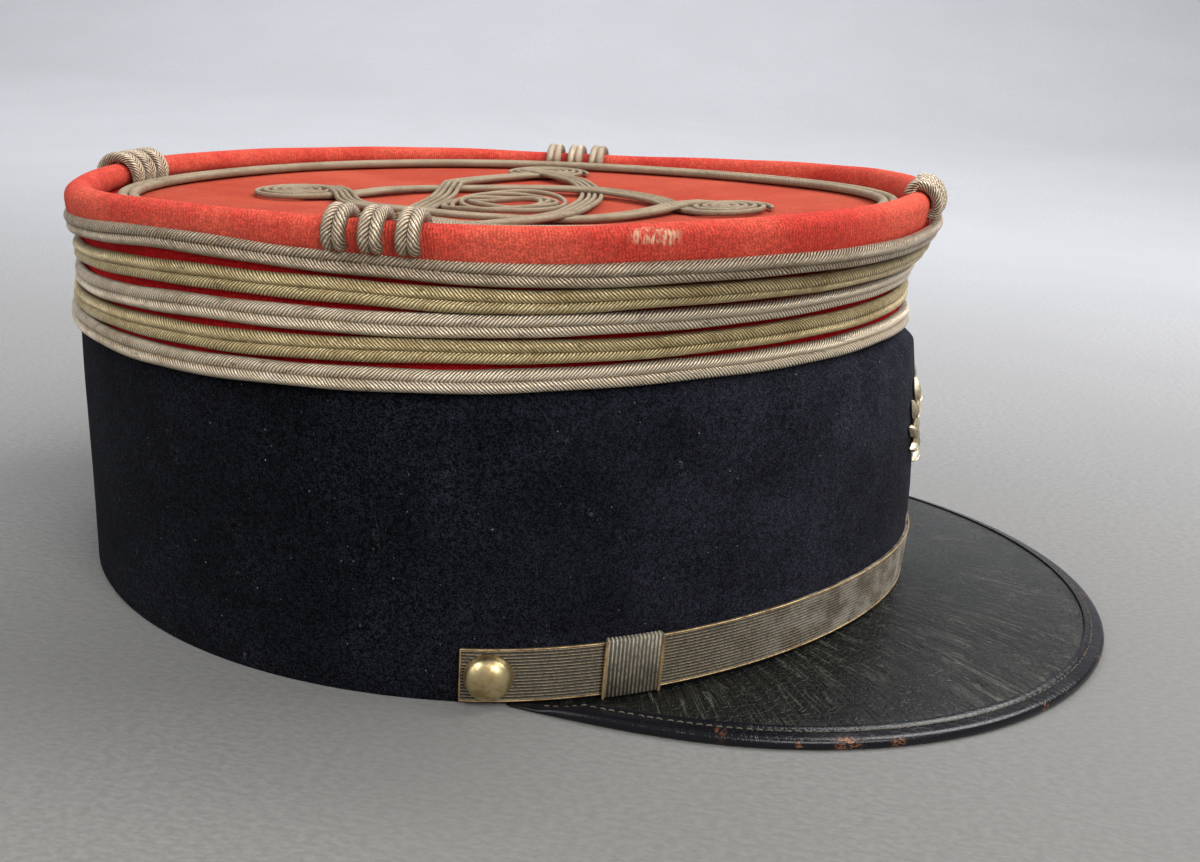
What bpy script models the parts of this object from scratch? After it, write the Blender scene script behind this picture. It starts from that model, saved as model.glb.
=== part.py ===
"""Kepi cap, rim up, resting on the hem of its headband and the edge of its peak.

Metres, +X to the front (the peak's side), +Z up. Every ring of the cap, from the
hem to the rim, is one smooth egg-shaped outline, whose reach to the front, rear
and side is a share of the head's half length and half width.
"""
import math
from collections import namedtuple

import bmesh
import bpy
from mathutils import Matrix, Vector

MM = 0.001

# Driving sizes of the cap's body
HEAD_HALF_LENGTH = 103.0 * MM
HEAD_HALF_WIDTH = 86.5 * MM
CROWN_HEIGHT = 94.0 * MM
RIM_TO_FIRST_ROW = 7.3 * MM
BAND_WALL = 2.5 * MM
FELT_WALL = 2.0 * MM
RIM_ROLL_RADIUS = 2.8 * MM
SEAT_GAP = 0.3 * MM
SHOULDER_BELOW_ROW = 6.1 * MM
TUCK_BELOW_ROW = 2.7 * MM

# Braid made of two round cords laid side by side
CORD_RADIUS = 1.15 * MM
ROW_SPACE = 0.9 * MM
ROW_COUNT = 5
RIM_BRAID_PITCH = 6.7 * MM
RIM_BRAIDS_PER_SIDE = 3
RIM_BRAID_START = -24.0

# Sunken top, with its ring of braid and its looped knot
TOP_DEPTH = 3.4 * MM
TOP_FRONT_DROP = 2.0 * MM
TOP_REAR_DROP = 2.8 * MM
TOP_SAG = 3.6 * MM
TOP_THICKNESS = 1.5 * MM
TOP_EDGE_GAP = 0.5 * MM
LAID_GAP = 0.5 * MM
RING_END_INSET = 14.5 * MM
RING_SIDE_INSET = 8.5 * MM
RING_SHIFT = -1.5 * MM
RING_EGG = 0.1
RING_BRAID_WIDTH = 4.6 * MM
RING_BRAID_HEIGHT = 1.6 * MM
KNOT_MIDDLE = -2.5 * MM
KNOT_HALF_LENGTH = 64.0 * MM
KNOT_HALF_WIDTH = 73.0 * MM
KNOT_HEIGHT = 1.6 * MM

# Peak and its binding
PEAK_REACH = 94.0 * MM
PEAK_TAIL = 120.0 * MM
PEAK_CENTRE = 55.0 * MM
PEAK_HALF_WIDTH = 86.8 * MM
PEAK_THICKNESS = 1.8 * MM
PEAK_EDGE_THICKNESS = 1.0 * MM
PEAK_CROWN = 1.2 * MM
PEAK_HALF_ANGLE = 73.5
PEAK_ROOT_GAP = 0.5 * MM
PEAK_UNDER_STRAP = 3.4 * MM
PEAK_EMERGE_SLOPE = 0.6
BINDING_HALF_ANGLE = 63.7
BINDING_WIDTH = 4.8 * MM
BINDING_UNDER = 1.5 * MM
BINDING_WALL = 0.6 * MM

# Chin strap, slides and buttons
STRAP_HEIGHT = 11.2 * MM
STRAP_THICKNESS = 1.2 * MM
STRAP_BOTTOM = 1.0 * MM
STRAP_RISE = 8.0 * MM
STRAP_RISE_FROM = 14.0 * MM
STRAP_RISE_POWER = 1.5
STRAP_ABOVE_PEAK = 1.0 * MM
STRAP_HALF_ANGLE = 81.35
SLIDE_ANGLE = 62.1
SLIDE_LENGTH = 11.5 * MM
SLIDE_WALL = 0.8 * MM
SLIDE_LIP = 0.4 * MM
SLIDE_LIP_GAP = 0.3 * MM
BUTTON_ANGLE = 78.2
BUTTON_RADIUS = 4.9 * MM
BUTTON_HEIGHT = 3.6 * MM
BUTTON_RIM = 0.7 * MM

# Front badge, a laurel spray
BADGE_HALF_WIDTH = 14.0 * MM
BADGE_HALF_HEIGHT = 12.0 * MM
BADGE_MIDDLE = 47.5 * MM
BADGE_STEM_RADIUS = 0.9 * MM
LEAF_LENGTH = 5.6 * MM
LEAF_WIDTH = 2.6 * MM
LEAF_THICKNESS = 1.9 * MM
LEAF_PAIRS = 5

# Mesh fineness
STATIONS = 48
STATION_STEP = 360.0 / STATIONS

# Rise and bow are shares of the crown's height: how much higher a ring is at the
# front than at its middle, and how much higher at both ends. Front and rear are
# shares of the head's half length, side of its half width. Egg narrows the front,
# square fills out the corners, and dent says how far the near side's dents reach.
Ring = namedtuple("Ring", "rise bow front rear side egg square dent")
RINGS = {
    "hem": Ring(0.0, 0.0, 0.965, 1.0, 1.0, -0.062, -0.018, 0.0),
    "waist": Ring(0.0234, 0.0016, 0.977, 1.0136, 1.006, -0.051, -0.027, 0.0),
    "belly": Ring(0.0480, 0.0032, 0.957, 1.0285, 1.013, -0.040, -0.036, 0.0),
    "shoulder": Ring(0.0585, 0.0039, 0.938, 1.0320, 1.015, -0.035, -0.040, 0.0),
    "tuck": Ring(0.0590, 0.0039, 0.897, 1.0228, 1.0116, -0.035, -0.040, 0.0),
    "row_5": Ring(0.0596, 0.0039, 0.894, 1.0199, 1.0098, -0.035, -0.040, 0.0),
    "row_4": Ring(0.0617, 0.0080, 0.882, 0.9902, 1.0073, -0.031, -0.015, 0.0),
    "row_3": Ring(0.0649, 0.0122, 0.887, 0.9648, 1.0047, -0.027, 0.010, 0.35),
    "row_2": Ring(0.0564, 0.0164, 0.914, 0.9462, 1.0022, -0.022, 0.034, 0.7),
    "row_1": Ring(0.0436, 0.0206, 0.9335, 0.9442, 0.9997, -0.018, 0.059, 1.0),
    "roll": Ring(0.0479, 0.0216, 0.9117, 0.9379, 0.9983, -0.018, 0.059, 0.5),
}
WAIST_SHARE = 0.40
BELLY_SHARE = 0.82
BAND_RINGS = ("hem", "waist", "belly", "shoulder", "tuck", "row_5")

# Dents of the near side: place and spread in degrees, depth as a share of the
# crown's height
Dent = namedtuple("Dent", "place spread depth")
DENTS = (Dent(-118.0, 13.0, 0.0114), Dent(-79.0, 17.0, -0.0180), Dent(-155.0, 13.0, -0.0150))

# Outlines of the knot's quarter and of its eyes, as shares of its half length and
# half width
KNOT_LOBE_MIDDLE = 0.79
KNOT_LOBE_RADIUS = 0.21
KNOT_NECK = ((0.59, 0.10), (0.47, 0.22), (0.40, 0.36), (0.36, 0.40), (0.22, 0.47), (0.10, 0.59))
KNOT_EYE = ((0.56, 0.0), (0.44, 0.10), (0.33, 0.15), (0.30, 0.0), (0.33, -0.15), (0.44, -0.10))
KNOT_MIDDLE_EYE = 0.11

Colour = namedtuple("Colour", "rgb roughness metallic")
NAVY_WOOL = Colour((0.012, 0.013, 0.022), 0.95, 0.0)
RED_FELT = Colour((0.62, 0.035, 0.025), 0.90, 0.0)
SILVER_BRAID = Colour((0.36, 0.31, 0.23), 0.50, 0.6)
GOLD_BRAID = Colour((0.40, 0.31, 0.13), 0.45, 0.7)
DULL_BRAID = Colour((0.22, 0.17, 0.11), 0.70, 0.3)
PATENT_LEATHER = Colour((0.015, 0.016, 0.018), 0.28, 0.0)
RIBBED_RIBBON = Colour((0.14, 0.11, 0.07), 0.55, 0.3)
AGED_BRASS = Colour((0.45, 0.32, 0.12), 0.30, 1.0)
GILT = Colour((0.48, 0.34, 0.12), 0.45, 0.8)


def clear_scene():
    """Remove every object of the open scene."""
    for item in list(bpy.data.objects):
        bpy.data.objects.remove(item, do_unlink=True)


def make_collection(name):
    """Return a new collection linked to the scene."""
    collection = bpy.data.collections.new(name)
    bpy.context.scene.collection.children.link(collection)
    return collection


def make_material(name, colour):
    """Return a Principled material of one colour."""
    material = bpy.data.materials.new(name)
    material.use_nodes = True
    shader = material.node_tree.nodes["Principled BSDF"]
    shader.inputs["Base Color"].default_value = (*colour.rgb, 1.0)
    shader.inputs["Roughness"].default_value = colour.roughness
    shader.inputs["Metallic"].default_value = colour.metallic
    return material


def finish_object(name, mesh, colour, matrix=None):
    """Put a mesh into the cap's collection as a named, smooth-shaded piece."""
    piece = bpy.data.objects.new(name, mesh)
    mesh.materials.clear()
    mesh.materials.append(make_material(name, colour))
    mesh.shade_smooth()
    mesh.set_sharp_from_angle(angle=math.radians(40.0))
    cap_parts.objects.link(piece)
    if matrix is not None:
        piece.matrix_world = matrix
    piece.parent = cap_root
    return piece


def loft_mesh(name, sections, closed):
    """Skin a row of equal point loops; an open row gets a flat cap at each end."""
    mesh = bpy.data.meshes.new(name)
    skin = bmesh.new()
    loops = [[skin.verts.new(point) for point in section] for section in sections]
    spans = len(loops) if closed else len(loops) - 1
    size = len(loops[0])
    for i in range(spans):
        here = loops[i]
        there = loops[(i + 1) % len(loops)]
        for j in range(size):
            k = (j + 1) % size
            skin.faces.new((here[j], here[k], there[k], there[j]))
    if not closed:
        skin.faces.new(loops[0])
        skin.faces.new(loops[-1])
    bmesh.ops.recalc_face_normals(skin, faces=skin.faces)
    skin.to_mesh(mesh)
    skin.free()
    return mesh


def row_height(row):
    """Height of a braid row's middle at the cap's middle, counted from the rim down."""
    pitch = 4.0 * CORD_RADIUS + ROW_SPACE
    return CROWN_HEIGHT - RIM_TO_FIRST_ROW - (row - 1) * pitch


def ring_height(name):
    """Height of a named ring at the cap's middle."""
    shoulder = row_height(ROW_COUNT) - SHOULDER_BELOW_ROW
    heights = {
        "hem": 0.0,
        "waist": WAIST_SHARE * shoulder,
        "belly": BELLY_SHARE * shoulder,
        "shoulder": shoulder,
        "tuck": row_height(ROW_COUNT) - TUCK_BELOW_ROW,
        "roll": CROWN_HEIGHT - RIM_ROLL_RADIUS,
    }
    if name in heights:
        return heights[name]
    return row_height(int(name.split("_")[1]))


def dent_depth(angle):
    """Height change of the near side's dents at an angle in degrees."""
    depth = 0.0
    for dent in DENTS:
        away = (angle - dent.place + 180.0) % 360.0 - 180.0
        depth += dent.depth * math.exp(-((away / dent.spread) ** 2))
    return depth * CROWN_HEIGHT


def ring_plan(name, angle):
    """Plan point of a ring at an angle in degrees, 0 at the front."""
    ring = RINGS[name]
    turn = math.radians(angle)
    front = ring.front * HEAD_HALF_LENGTH
    rear = ring.rear * HEAD_HALF_LENGTH
    x = (front - rear) / 2 + (front + rear) / 2 * math.cos(turn)
    full = (math.sin(turn) + ring.square * math.sin(3 * turn)) / (1 - ring.square)
    y = ring.side * HEAD_HALF_WIDTH * full * (1 + ring.egg * math.cos(turn))
    return Vector((x, y, 0.0))


def ring_point(name, angle):
    """Point of a ring on the cap's outer surface."""
    ring = RINGS[name]
    turn = math.cos(math.radians(angle))
    lift = CROWN_HEIGHT * (ring.rise * turn + ring.bow * turn * turn)
    point = ring_plan(name, angle)
    point.z = ring_height(name) + lift + ring.dent * dent_depth(angle)
    return point


def along_ring(name, angle):
    """Unit direction along a ring, anticlockwise seen from above."""
    return (ring_plan(name, angle + 0.5) - ring_plan(name, angle - 0.5)).normalized()


def out_of_ring(name, angle):
    """Level unit direction out of a ring."""
    along = along_ring(name, angle)
    return Vector((along.y, -along.x, 0.0))


def band_surface(angle, height, out=0.0):
    """Point of the headband's outer face at a height, moved outwards."""
    name = BAND_RINGS[0]
    low = ring_point(name, angle)
    for name in BAND_RINGS[1:]:
        high = ring_point(name, angle)
        if high.z >= height:
            break
        low = high
    share = (height - low.z) / (high.z - low.z)
    point = low.lerp(high, share) + out_of_ring("hem", angle) * out
    point.z = height
    return point


def strap_bottom(x):
    """Height of the chin strap's lower edge at a distance to the front."""
    span = HEAD_HALF_LENGTH - STRAP_RISE_FROM
    share = min(max((x - STRAP_RISE_FROM) / span, 0.0), 1.0)
    return STRAP_BOTTOM + STRAP_RISE * share ** STRAP_RISE_POWER


def peak_root(x):
    """Height of the peak's upper face where it meets the headband."""
    return strap_bottom(x) - STRAP_ABOVE_PEAK


def hem_lift(x):
    """Height of the headband's lower edge, which rises over the peak's root."""
    return max(peak_root(x) - PEAK_THICKNESS, 0.0)


def station_angles(first=0.0, last=None, step=STATION_STEP):
    """Angles in degrees, all round, or from first to last with both ends."""
    if last is None:
        return [i * step for i in range(round(360.0 / step))]
    count = round((last - first) / step)
    return [first + (last - first) * i / count for i in range(count + 1)]


def top_height(x, y):
    """Height of the sunken top's upper face, a shallow dish that follows the rim."""
    roll = RINGS["roll"]
    front = roll.front * HEAD_HALF_LENGTH
    rear = roll.rear * HEAD_HALF_LENGTH
    along = (x - (front - rear) / 2) / ((front + rear) / 2)
    across = y / (roll.side * HEAD_HALF_WIDTH)
    rim = CROWN_HEIGHT * (1 + roll.rise * along + roll.bow * along * along)
    end_drop = TOP_REAR_DROP * min(along, 0.0) ** 2 + TOP_FRONT_DROP * max(along, 0.0) ** 2
    sag = TOP_SAG * max(1.0 - along * along - across * across, 0.0)
    return rim - TOP_DEPTH - end_drop - sag


def top_edge(angle, inset=0.0):
    """Plan point of the rim roll's inner face, moved inwards."""
    return ring_plan("roll", angle) - out_of_ring("roll", angle) * (RIM_ROLL_RADIUS + inset)


def make_band():
    """Loft the headband: a wall open at the bottom, its front hem over the peak."""
    sections = []
    for angle in station_angles():
        inward = -BAND_WALL * out_of_ring("hem", angle)
        outer = [ring_point(name, angle) for name in BAND_RINGS]
        outer[0] = band_surface(angle, hem_lift(outer[0].x))
        outer[-1].z -= SEAT_GAP / 2
        inner = [outer[i] + inward for i in (5, 3, 2, 0)]
        sections.append(outer + inner)
    return finish_object("band", loft_mesh("band", sections, True), NAVY_WOOL)


def roll_point(angle, turn):
    """Point of the rim roll's round at a turn in degrees, 0 outwards, 90 up."""
    middle = ring_point("roll", angle)
    out = out_of_ring("roll", angle)
    up = Vector((0.0, 0.0, RIM_ROLL_RADIUS))
    return middle + out * (RIM_ROLL_RADIUS * math.cos(math.radians(turn))) + up * math.sin(math.radians(turn))


def make_turban():
    """Loft the felt wall, its rim roll and the inner face that holds the top."""
    sections = []
    for angle in station_angles():
        outer = [ring_point(f"row_{row}", angle) for row in range(ROW_COUNT, 0, -1)]
        outer[0].z += SEAT_GAP / 2
        climb = (outer[-1] - outer[-2]).normalized()
        outer.append(outer[-1] + climb * (2 * CORD_RADIUS + SEAT_GAP))
        rolled = [roll_point(angle, turn) for turn in (-30, 0, 45, 90, 135, 180)]
        inner = []
        edge = top_edge(angle)
        below_top = top_height(edge.x, edge.y) - TOP_THICKNESS - 2 * SEAT_GAP
        inner.append(Vector((edge.x, edge.y, below_top)))
        for i in (3, 2, 0):
            point = outer[i] - out_of_ring("row_3", angle) * FELT_WALL
            inner.append(point)
        inner[1].z = min(inner[1].z, below_top - FELT_WALL)
        sections.append(outer + rolled + inner)
    return finish_object("turban", loft_mesh("turban", sections, True), RED_FELT)


def make_top_disc():
    """Make the sunken top as an open dish with a wall given by Solidify."""
    mesh = bpy.data.meshes.new("top_disc")
    skin = bmesh.new()
    angles = station_angles()
    middle = skin.verts.new((0.0, 0.0, top_height(0.0, 0.0)))
    inner = [middle] * len(angles)
    for share in (0.4, 0.7, 1.0):
        ring = []
        for angle in angles:
            edge = top_edge(angle, TOP_EDGE_GAP) * share
            ring.append(skin.verts.new((edge.x, edge.y, top_height(edge.x, edge.y))))
        for i in range(len(angles)):
            j = (i + 1) % len(angles)
            if share < 0.5:
                skin.faces.new((middle, ring[i], ring[j]))
            else:
                skin.faces.new((inner[i], ring[i], ring[j], inner[j]))
        inner = ring
    skin.to_mesh(mesh)
    skin.free()
    disc = finish_object("top_disc", mesh, RED_FELT)
    wall = disc.modifiers.new("wall", "SOLIDIFY")
    wall.thickness = TOP_THICKNESS
    wall.offset = -1.0
    return disc


def double_cord_section(middle, across, out):
    """Outline of two round cords side by side, flat at the back."""
    outline = ((0.0, 0.40), (0.9, 1.0), (1.8, 0.6), (1.9, -0.8), (-1.9, -0.8), (-1.8, 0.6), (-0.9, 1.0))
    return [middle + across * (a * CORD_RADIUS) + out * (b * CORD_RADIUS) for a, b in outline]


def row_frame(row, angle):
    """Middle of a braid row's two cords, with its upward and outward directions."""
    name = f"row_{row}"
    above = ring_point("roll" if row == 1 else f"row_{row - 1}", angle)
    below = ring_point("tuck" if row == ROW_COUNT else f"row_{row + 1}", angle)
    seat = ring_point(name, angle)
    along = along_ring(name, angle)
    upper = above - seat
    lower = seat - below
    if row == 1:
        upper = lower
    upper = (upper - along * upper.dot(along)).normalized()
    lower = (lower - along * lower.dot(along)).normalized()
    up = (upper + lower).normalized()
    out = along.cross(up).normalized()
    hollow = max((upper - lower).dot(out), 0.0) / 2
    return seat + out * (CORD_RADIUS * (1 + hollow) + SEAT_GAP), up, out


def make_braid_row(row):
    """Loft one ring of doubled cord round the felt wall."""
    sections = []
    for angle in station_angles():
        middle, up, out = row_frame(row, angle)
        sections.append(double_cord_section(middle, up, out))
    name = f"braid_row_{row}"
    colour = SILVER_BRAID if row % 2 else GOLD_BRAID
    return finish_object(name, loft_mesh(name, sections, True), colour)


def make_rim_braid(side, number, middle_angle):
    """Loft one short doubled cord that hooks over the rim roll."""
    name = f"rim_braid_{side}_{number}"
    step = (ring_plan("roll", middle_angle + 0.5) - ring_plan("roll", middle_angle - 0.5)).length
    offset = (number - (RIM_BRAIDS_PER_SIDE + 1) / 2) * RIM_BRAID_PITCH
    angle = middle_angle + offset / step
    roll = ring_point("roll", angle)
    out = out_of_ring("roll", angle)
    along = along_ring("roll", angle)
    reach = RIM_ROLL_RADIUS + SEAT_GAP + CORD_RADIUS
    foot = roll - out * reach
    foot.z = top_height(foot.x, foot.y) + RING_BRAID_HEIGHT + LAID_GAP + SEAT_GAP
    last = 180.0 - math.degrees(math.asin(max(min((foot.z - roll.z) / reach, 0.9), 0.0)))
    sections = []
    for turn in station_angles(RIM_BRAID_START, last, (last - RIM_BRAID_START) / 6):
        away = out * math.cos(math.radians(turn)) + Vector((0.0, 0.0, math.sin(math.radians(turn))))
        sections.append(double_cord_section(roll + away * reach, along, away))
    if foot.z < roll.z:
        sections.append(double_cord_section(foot, along, -out))
    return finish_object(name, loft_mesh(name, sections, False), SILVER_BRAID)


def make_top_ring_braid():
    """Loft the ring of braid laid on the sunken top."""
    sections = []
    half = RING_BRAID_WIDTH / 2
    outline = ((-half, 0.25), (-half * 0.5, 1.0), (half * 0.5, 1.0), (half, 0.25), (half, 0.0), (-half, 0.0))
    half_length = HEAD_HALF_LENGTH - RING_END_INSET
    half_width = HEAD_HALF_WIDTH - RING_SIDE_INSET
    for angle in station_angles():
        turn = math.radians(angle)
        x = RING_SHIFT + half_length * math.cos(turn)
        y = half_width * math.sin(turn) * (1 - RING_EGG * math.cos(turn))
        out = Vector((math.cos(turn) / half_length, math.sin(turn) / half_width, 0.0)).normalized()
        section = []
        for across, up in outline:
            point = Vector((x, y, 0.0)) + out * across
            point.z = top_height(point.x, point.y) + LAID_GAP + up * RING_BRAID_HEIGHT
            section.append(point)
        sections.append(section)
    return finish_object("top_ring_braid", loft_mesh("top_ring_braid", sections, True), DULL_BRAID)


def add_outline(curve, points):
    """Add a closed outline of plan points, given as shares, to a flat curve."""
    spline = curve.splines.new("POLY")
    spline.points.add(len(points) - 1)
    for target, (x, y) in zip(spline.points, points):
        target.co = (KNOT_MIDDLE + x * KNOT_HALF_LENGTH, y * KNOT_HALF_WIDTH, 0.0, 1.0)
    spline.use_cyclic_u = True


def quarter_turned(points, quarter):
    """Turn share points by quarter turns."""
    turned = list(points)
    for _ in range(quarter):
        turned = [(-y, x) for x, y in turned]
    return turned


def make_top_knot():
    """Cut the four-lobed knot from a flat outline with eyes and lay it on the top."""
    curve = bpy.data.curves.new("knot_outline", "CURVE")
    curve.dimensions = "2D"
    curve.fill_mode = "BOTH"
    curve.extrude = KNOT_HEIGHT / 2
    outer = []
    for quarter in range(4):
        lobe = []
        for angle in station_angles(-140.0, 140.0, 35.0):
            turn = math.radians(angle)
            x = KNOT_LOBE_MIDDLE + KNOT_LOBE_RADIUS * math.cos(turn)
            lobe.append((x, KNOT_LOBE_RADIUS * math.sin(turn)))
        outer += quarter_turned(lobe + list(KNOT_NECK), quarter)
    add_outline(curve, outer)
    for quarter in range(4):
        add_outline(curve, quarter_turned(KNOT_EYE, quarter))
    middle = [(KNOT_MIDDLE_EYE * math.cos(math.radians(a)), KNOT_MIDDLE_EYE * math.sin(math.radians(a)))
              for a in station_angles(step=45.0)]
    add_outline(curve, middle)
    drawn = bpy.data.objects.new("knot_outline", curve)
    cap_parts.objects.link(drawn)
    graph = bpy.context.evaluated_depsgraph_get()
    mesh = bpy.data.meshes.new_from_object(drawn.evaluated_get(graph))
    bpy.data.objects.remove(drawn, do_unlink=True)
    body = bmesh.new()
    body.from_mesh(mesh)
    bmesh.ops.remove_doubles(body, verts=body.verts, dist=0.00001)
    for vert in body.verts:
        vert.co.z += top_height(vert.co.x, vert.co.y) + LAID_GAP + KNOT_HEIGHT / 2
    bmesh.ops.recalc_face_normals(body, faces=body.faces)
    body.to_mesh(mesh)
    body.free()
    return finish_object("top_knot", mesh, DULL_BRAID)


def peak_edge(inner):
    """Plan point of the peak's outline in line with a point of its root."""
    tail = Vector((band_surface(PEAK_HALF_ANGLE, 0.0).x * 0.8, 0.0, 0.0))
    ray = Vector((inner.x, inner.y, 0.0)) - tail
    low, high = 1.0, 4.0
    for _ in range(40):
        middle = (low + high) / 2
        point = tail + ray * middle
        reach = PEAK_REACH if point.x > PEAK_CENTRE else PEAK_TAIL
        inside = ((point.x - PEAK_CENTRE) / reach) ** 2 + (point.y / PEAK_HALF_WIDTH) ** 2 < 1.0
        low, high = (middle, high) if inside else (low, middle)
    return tail + ray * low


def peak_profile(angle):
    """Root point, level direction, leather length and width of the peak at an angle."""
    x = ring_plan("hem", angle).x
    root = band_surface(angle, hem_lift(x), PEAK_ROOT_GAP)
    root.z = peak_root(x)
    edge = peak_edge(root)
    edge.z = root.z
    width = (edge - root).length
    leather = width - BINDING_WALL - SEAT_GAP
    return root, (edge - root).normalized(), leather, width


def peak_levels(root, leather, bare=False):
    """Distances from the root with the heights of the peak's two faces."""
    lower_root = max(root.z - PEAK_THICKNESS, 0.0)
    lower_edge = 0.0 if bare else BINDING_WALL + SEAT_GAP
    bound = leather - min(BINDING_WIDTH - BINDING_WALL - SEAT_GAP, 0.65 * leather)
    flat = leather - min(BINDING_UNDER + SEAT_GAP, 0.6 * leather)
    levels = []
    for at in (0.0, min(PEAK_UNDER_STRAP, 0.4 * bound), 0.7 * bound, bound, flat, leather):
        share = min(at / flat, 1.0)
        rise = 0.0 if bare else PEAK_CROWN * min(2 * leather / PEAK_REACH, 1.0) * 4 * share * (1 - share)
        lower = lower_root + (lower_edge - lower_root) * share + rise
        thin = max(at - bound, 0.0) / (leather - bound)
        thick = PEAK_THICKNESS + (PEAK_EDGE_THICKNESS - PEAK_THICKNESS) * thin
        highest = root.z + PEAK_EMERGE_SLOPE * max(at - PEAK_UNDER_STRAP, 0.0)
        levels.append((at, lower, min(lower + thick, highest)))
    return levels


def place_on_peak(root, ahead, at, height):
    """Point at a distance from the peak's root and a height."""
    point = root + ahead * at
    point.z = height
    return point


def make_peak():
    """Loft the leather peak between its root and the inside of its binding."""
    sections = []
    for angle in station_angles(-PEAK_HALF_ANGLE, PEAK_HALF_ANGLE, 5.0):
        root, ahead, leather, _ = peak_profile(angle)
        levels = peak_levels(root, leather, abs(angle) > BINDING_HALF_ANGLE)
        upper = [place_on_peak(root, ahead, at, high) for at, _, high in levels]
        lower = [place_on_peak(root, ahead, at, low) for at, low, _ in levels]
        sections.append(upper + lower[::-1])
    return finish_object("peak", loft_mesh("peak", sections, False), PATENT_LEATHER)


def make_peak_binding():
    """Loft the binding, a channel folded over the peak's edge."""
    sections = []
    for angle in station_angles(-BINDING_HALF_ANGLE, BINDING_HALF_ANGLE, 5.0):
        root, ahead, leather, width = peak_profile(angle)
        levels = peak_levels(root, leather)
        bound, _, bound_top = levels[3]
        edge_low, edge_high = levels[5][1], levels[5][2]
        lip = leather - min(BINDING_UNDER, 0.5 * leather)
        lip_low = edge_low
        round_off = BINDING_WALL * 0.8
        corners = (
            (bound, bound_top + SEAT_GAP + BINDING_WALL),
            (levels[4][0], levels[4][2] + SEAT_GAP + BINDING_WALL),
            (width - round_off, edge_high + SEAT_GAP + BINDING_WALL),
            (width, edge_high + SEAT_GAP),
            (width, edge_low - SEAT_GAP),
            (width - round_off, edge_low - SEAT_GAP - BINDING_WALL),
            (lip, lip_low - SEAT_GAP - BINDING_WALL),
            (lip, lip_low - SEAT_GAP),
            (leather + SEAT_GAP, edge_low - SEAT_GAP),
            (leather + SEAT_GAP, edge_high + SEAT_GAP),
            (levels[4][0], levels[4][2] + SEAT_GAP),
            (bound, bound_top + SEAT_GAP),
        )
        sections.append([place_on_peak(root, ahead, at, height) for at, height in corners])
    return finish_object("peak_binding", loft_mesh("peak_binding", sections, False), PATENT_LEATHER)


def strap_corner(angle, up, out):
    """Point at a height above the strap's lower edge and a distance off the band."""
    height = strap_bottom(ring_plan("hem", angle).x) + up
    return band_surface(angle, height, out)


def make_chin_strap():
    """Loft the flat strap that lies round the front from button to button."""
    near = SEAT_GAP
    far = SEAT_GAP + STRAP_THICKNESS
    sections = []
    for angle in station_angles(-STRAP_HALF_ANGLE, STRAP_HALF_ANGLE, STATION_STEP / 2):
        corners = ((0.0, near), (STRAP_HEIGHT, near), (STRAP_HEIGHT, far), (0.0, far))
        sections.append([strap_corner(angle, up, out) for up, out in corners])
    return finish_object("chin_strap", loft_mesh("chin_strap", sections, False), RIBBED_RIBBON)


def make_strap_slide(side, hand):
    """Loft a slide, a plate with lips folded over the strap's two edges."""
    back = SEAT_GAP + 0.2 * STRAP_THICKNESS
    inside = 2 * SEAT_GAP + STRAP_THICKNESS
    face = inside + SLIDE_WALL
    low = -SLIDE_LIP_GAP
    high = STRAP_HEIGHT + SLIDE_LIP_GAP
    corners = (
        (low - SLIDE_LIP, back), (low - SLIDE_LIP, face), (high + SLIDE_LIP, face), (high + SLIDE_LIP, back),
        (high, back), (high, inside), (low, inside), (low, back),
    )
    middle = SLIDE_ANGLE * hand
    per_degree = (ring_plan("hem", middle + 0.5) - ring_plan("hem", middle - 0.5)).length
    half = SLIDE_LENGTH / per_degree / 2
    sections = []
    for angle in (middle - half, middle, middle + half):
        sections.append([strap_corner(angle, up, out) for up, out in corners])
    name = f"strap_slide_{side}"
    return finish_object(name, loft_mesh(name, sections, False), RIBBED_RIBBON)


def make_button(side, hand):
    """Turn a domed button and seat it on the strap near its end."""
    mesh = bpy.data.meshes.new(f"button_{side}")
    profile = bmesh.new()
    points = []
    dome = BUTTON_HEIGHT - BUTTON_RIM
    for i in range(5):
        turn = math.radians(90.0 - 20.0 * i)
        points.append((BUTTON_RADIUS * math.cos(turn), BUTTON_RIM + dome * math.sin(turn)))
    points += [(BUTTON_RADIUS, BUTTON_RIM), (BUTTON_RADIUS, 0.0), (0.0, 0.0)]
    points[0] = (0.0, BUTTON_HEIGHT)
    verts = [profile.verts.new((r, 0.0, z)) for r, z in points]
    for first, second in zip(verts, verts[1:]):
        profile.edges.new((first, second))
    profile.to_mesh(mesh)
    profile.free()
    angle = BUTTON_ANGLE * hand
    seat = strap_corner(angle, STRAP_HEIGHT / 2, STRAP_THICKNESS + 2 * SEAT_GAP + 0.1 * MM)
    below = strap_corner(angle, 0.0, 0.0)
    above = strap_corner(angle, STRAP_HEIGHT, 0.0)
    along = along_ring("hem", angle)
    up = (above - below).normalized()
    out = along.cross(up).normalized()
    matrix = Matrix.Translation(seat) @ Matrix((along, up, out)).transposed().to_4x4()
    button = finish_object(f"button_{side}", mesh, AGED_BRASS, matrix)
    turned = button.modifiers.new("turned", "SCREW")
    turned.steps = 18
    turned.render_steps = 18
    turned.use_merge_vertices = True
    turned.merge_threshold = 0.00005
    turned.use_smooth_shade = True
    return button


def badge_place(across, up, out):
    """Matrix at a place of the badge, its local +Z out of the headband."""
    angle = math.degrees(across / (HEAD_HALF_WIDTH * HEAD_HALF_WIDTH / HEAD_HALF_LENGTH * 1.05))
    seat = band_surface(angle, BADGE_MIDDLE + up, out)
    facing = out_of_ring("hem", angle)
    along = along_ring("hem", angle)
    upward = facing.cross(along).normalized()
    return Matrix.Translation(seat) @ Matrix((along, upward, facing)).transposed().to_4x4()


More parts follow.
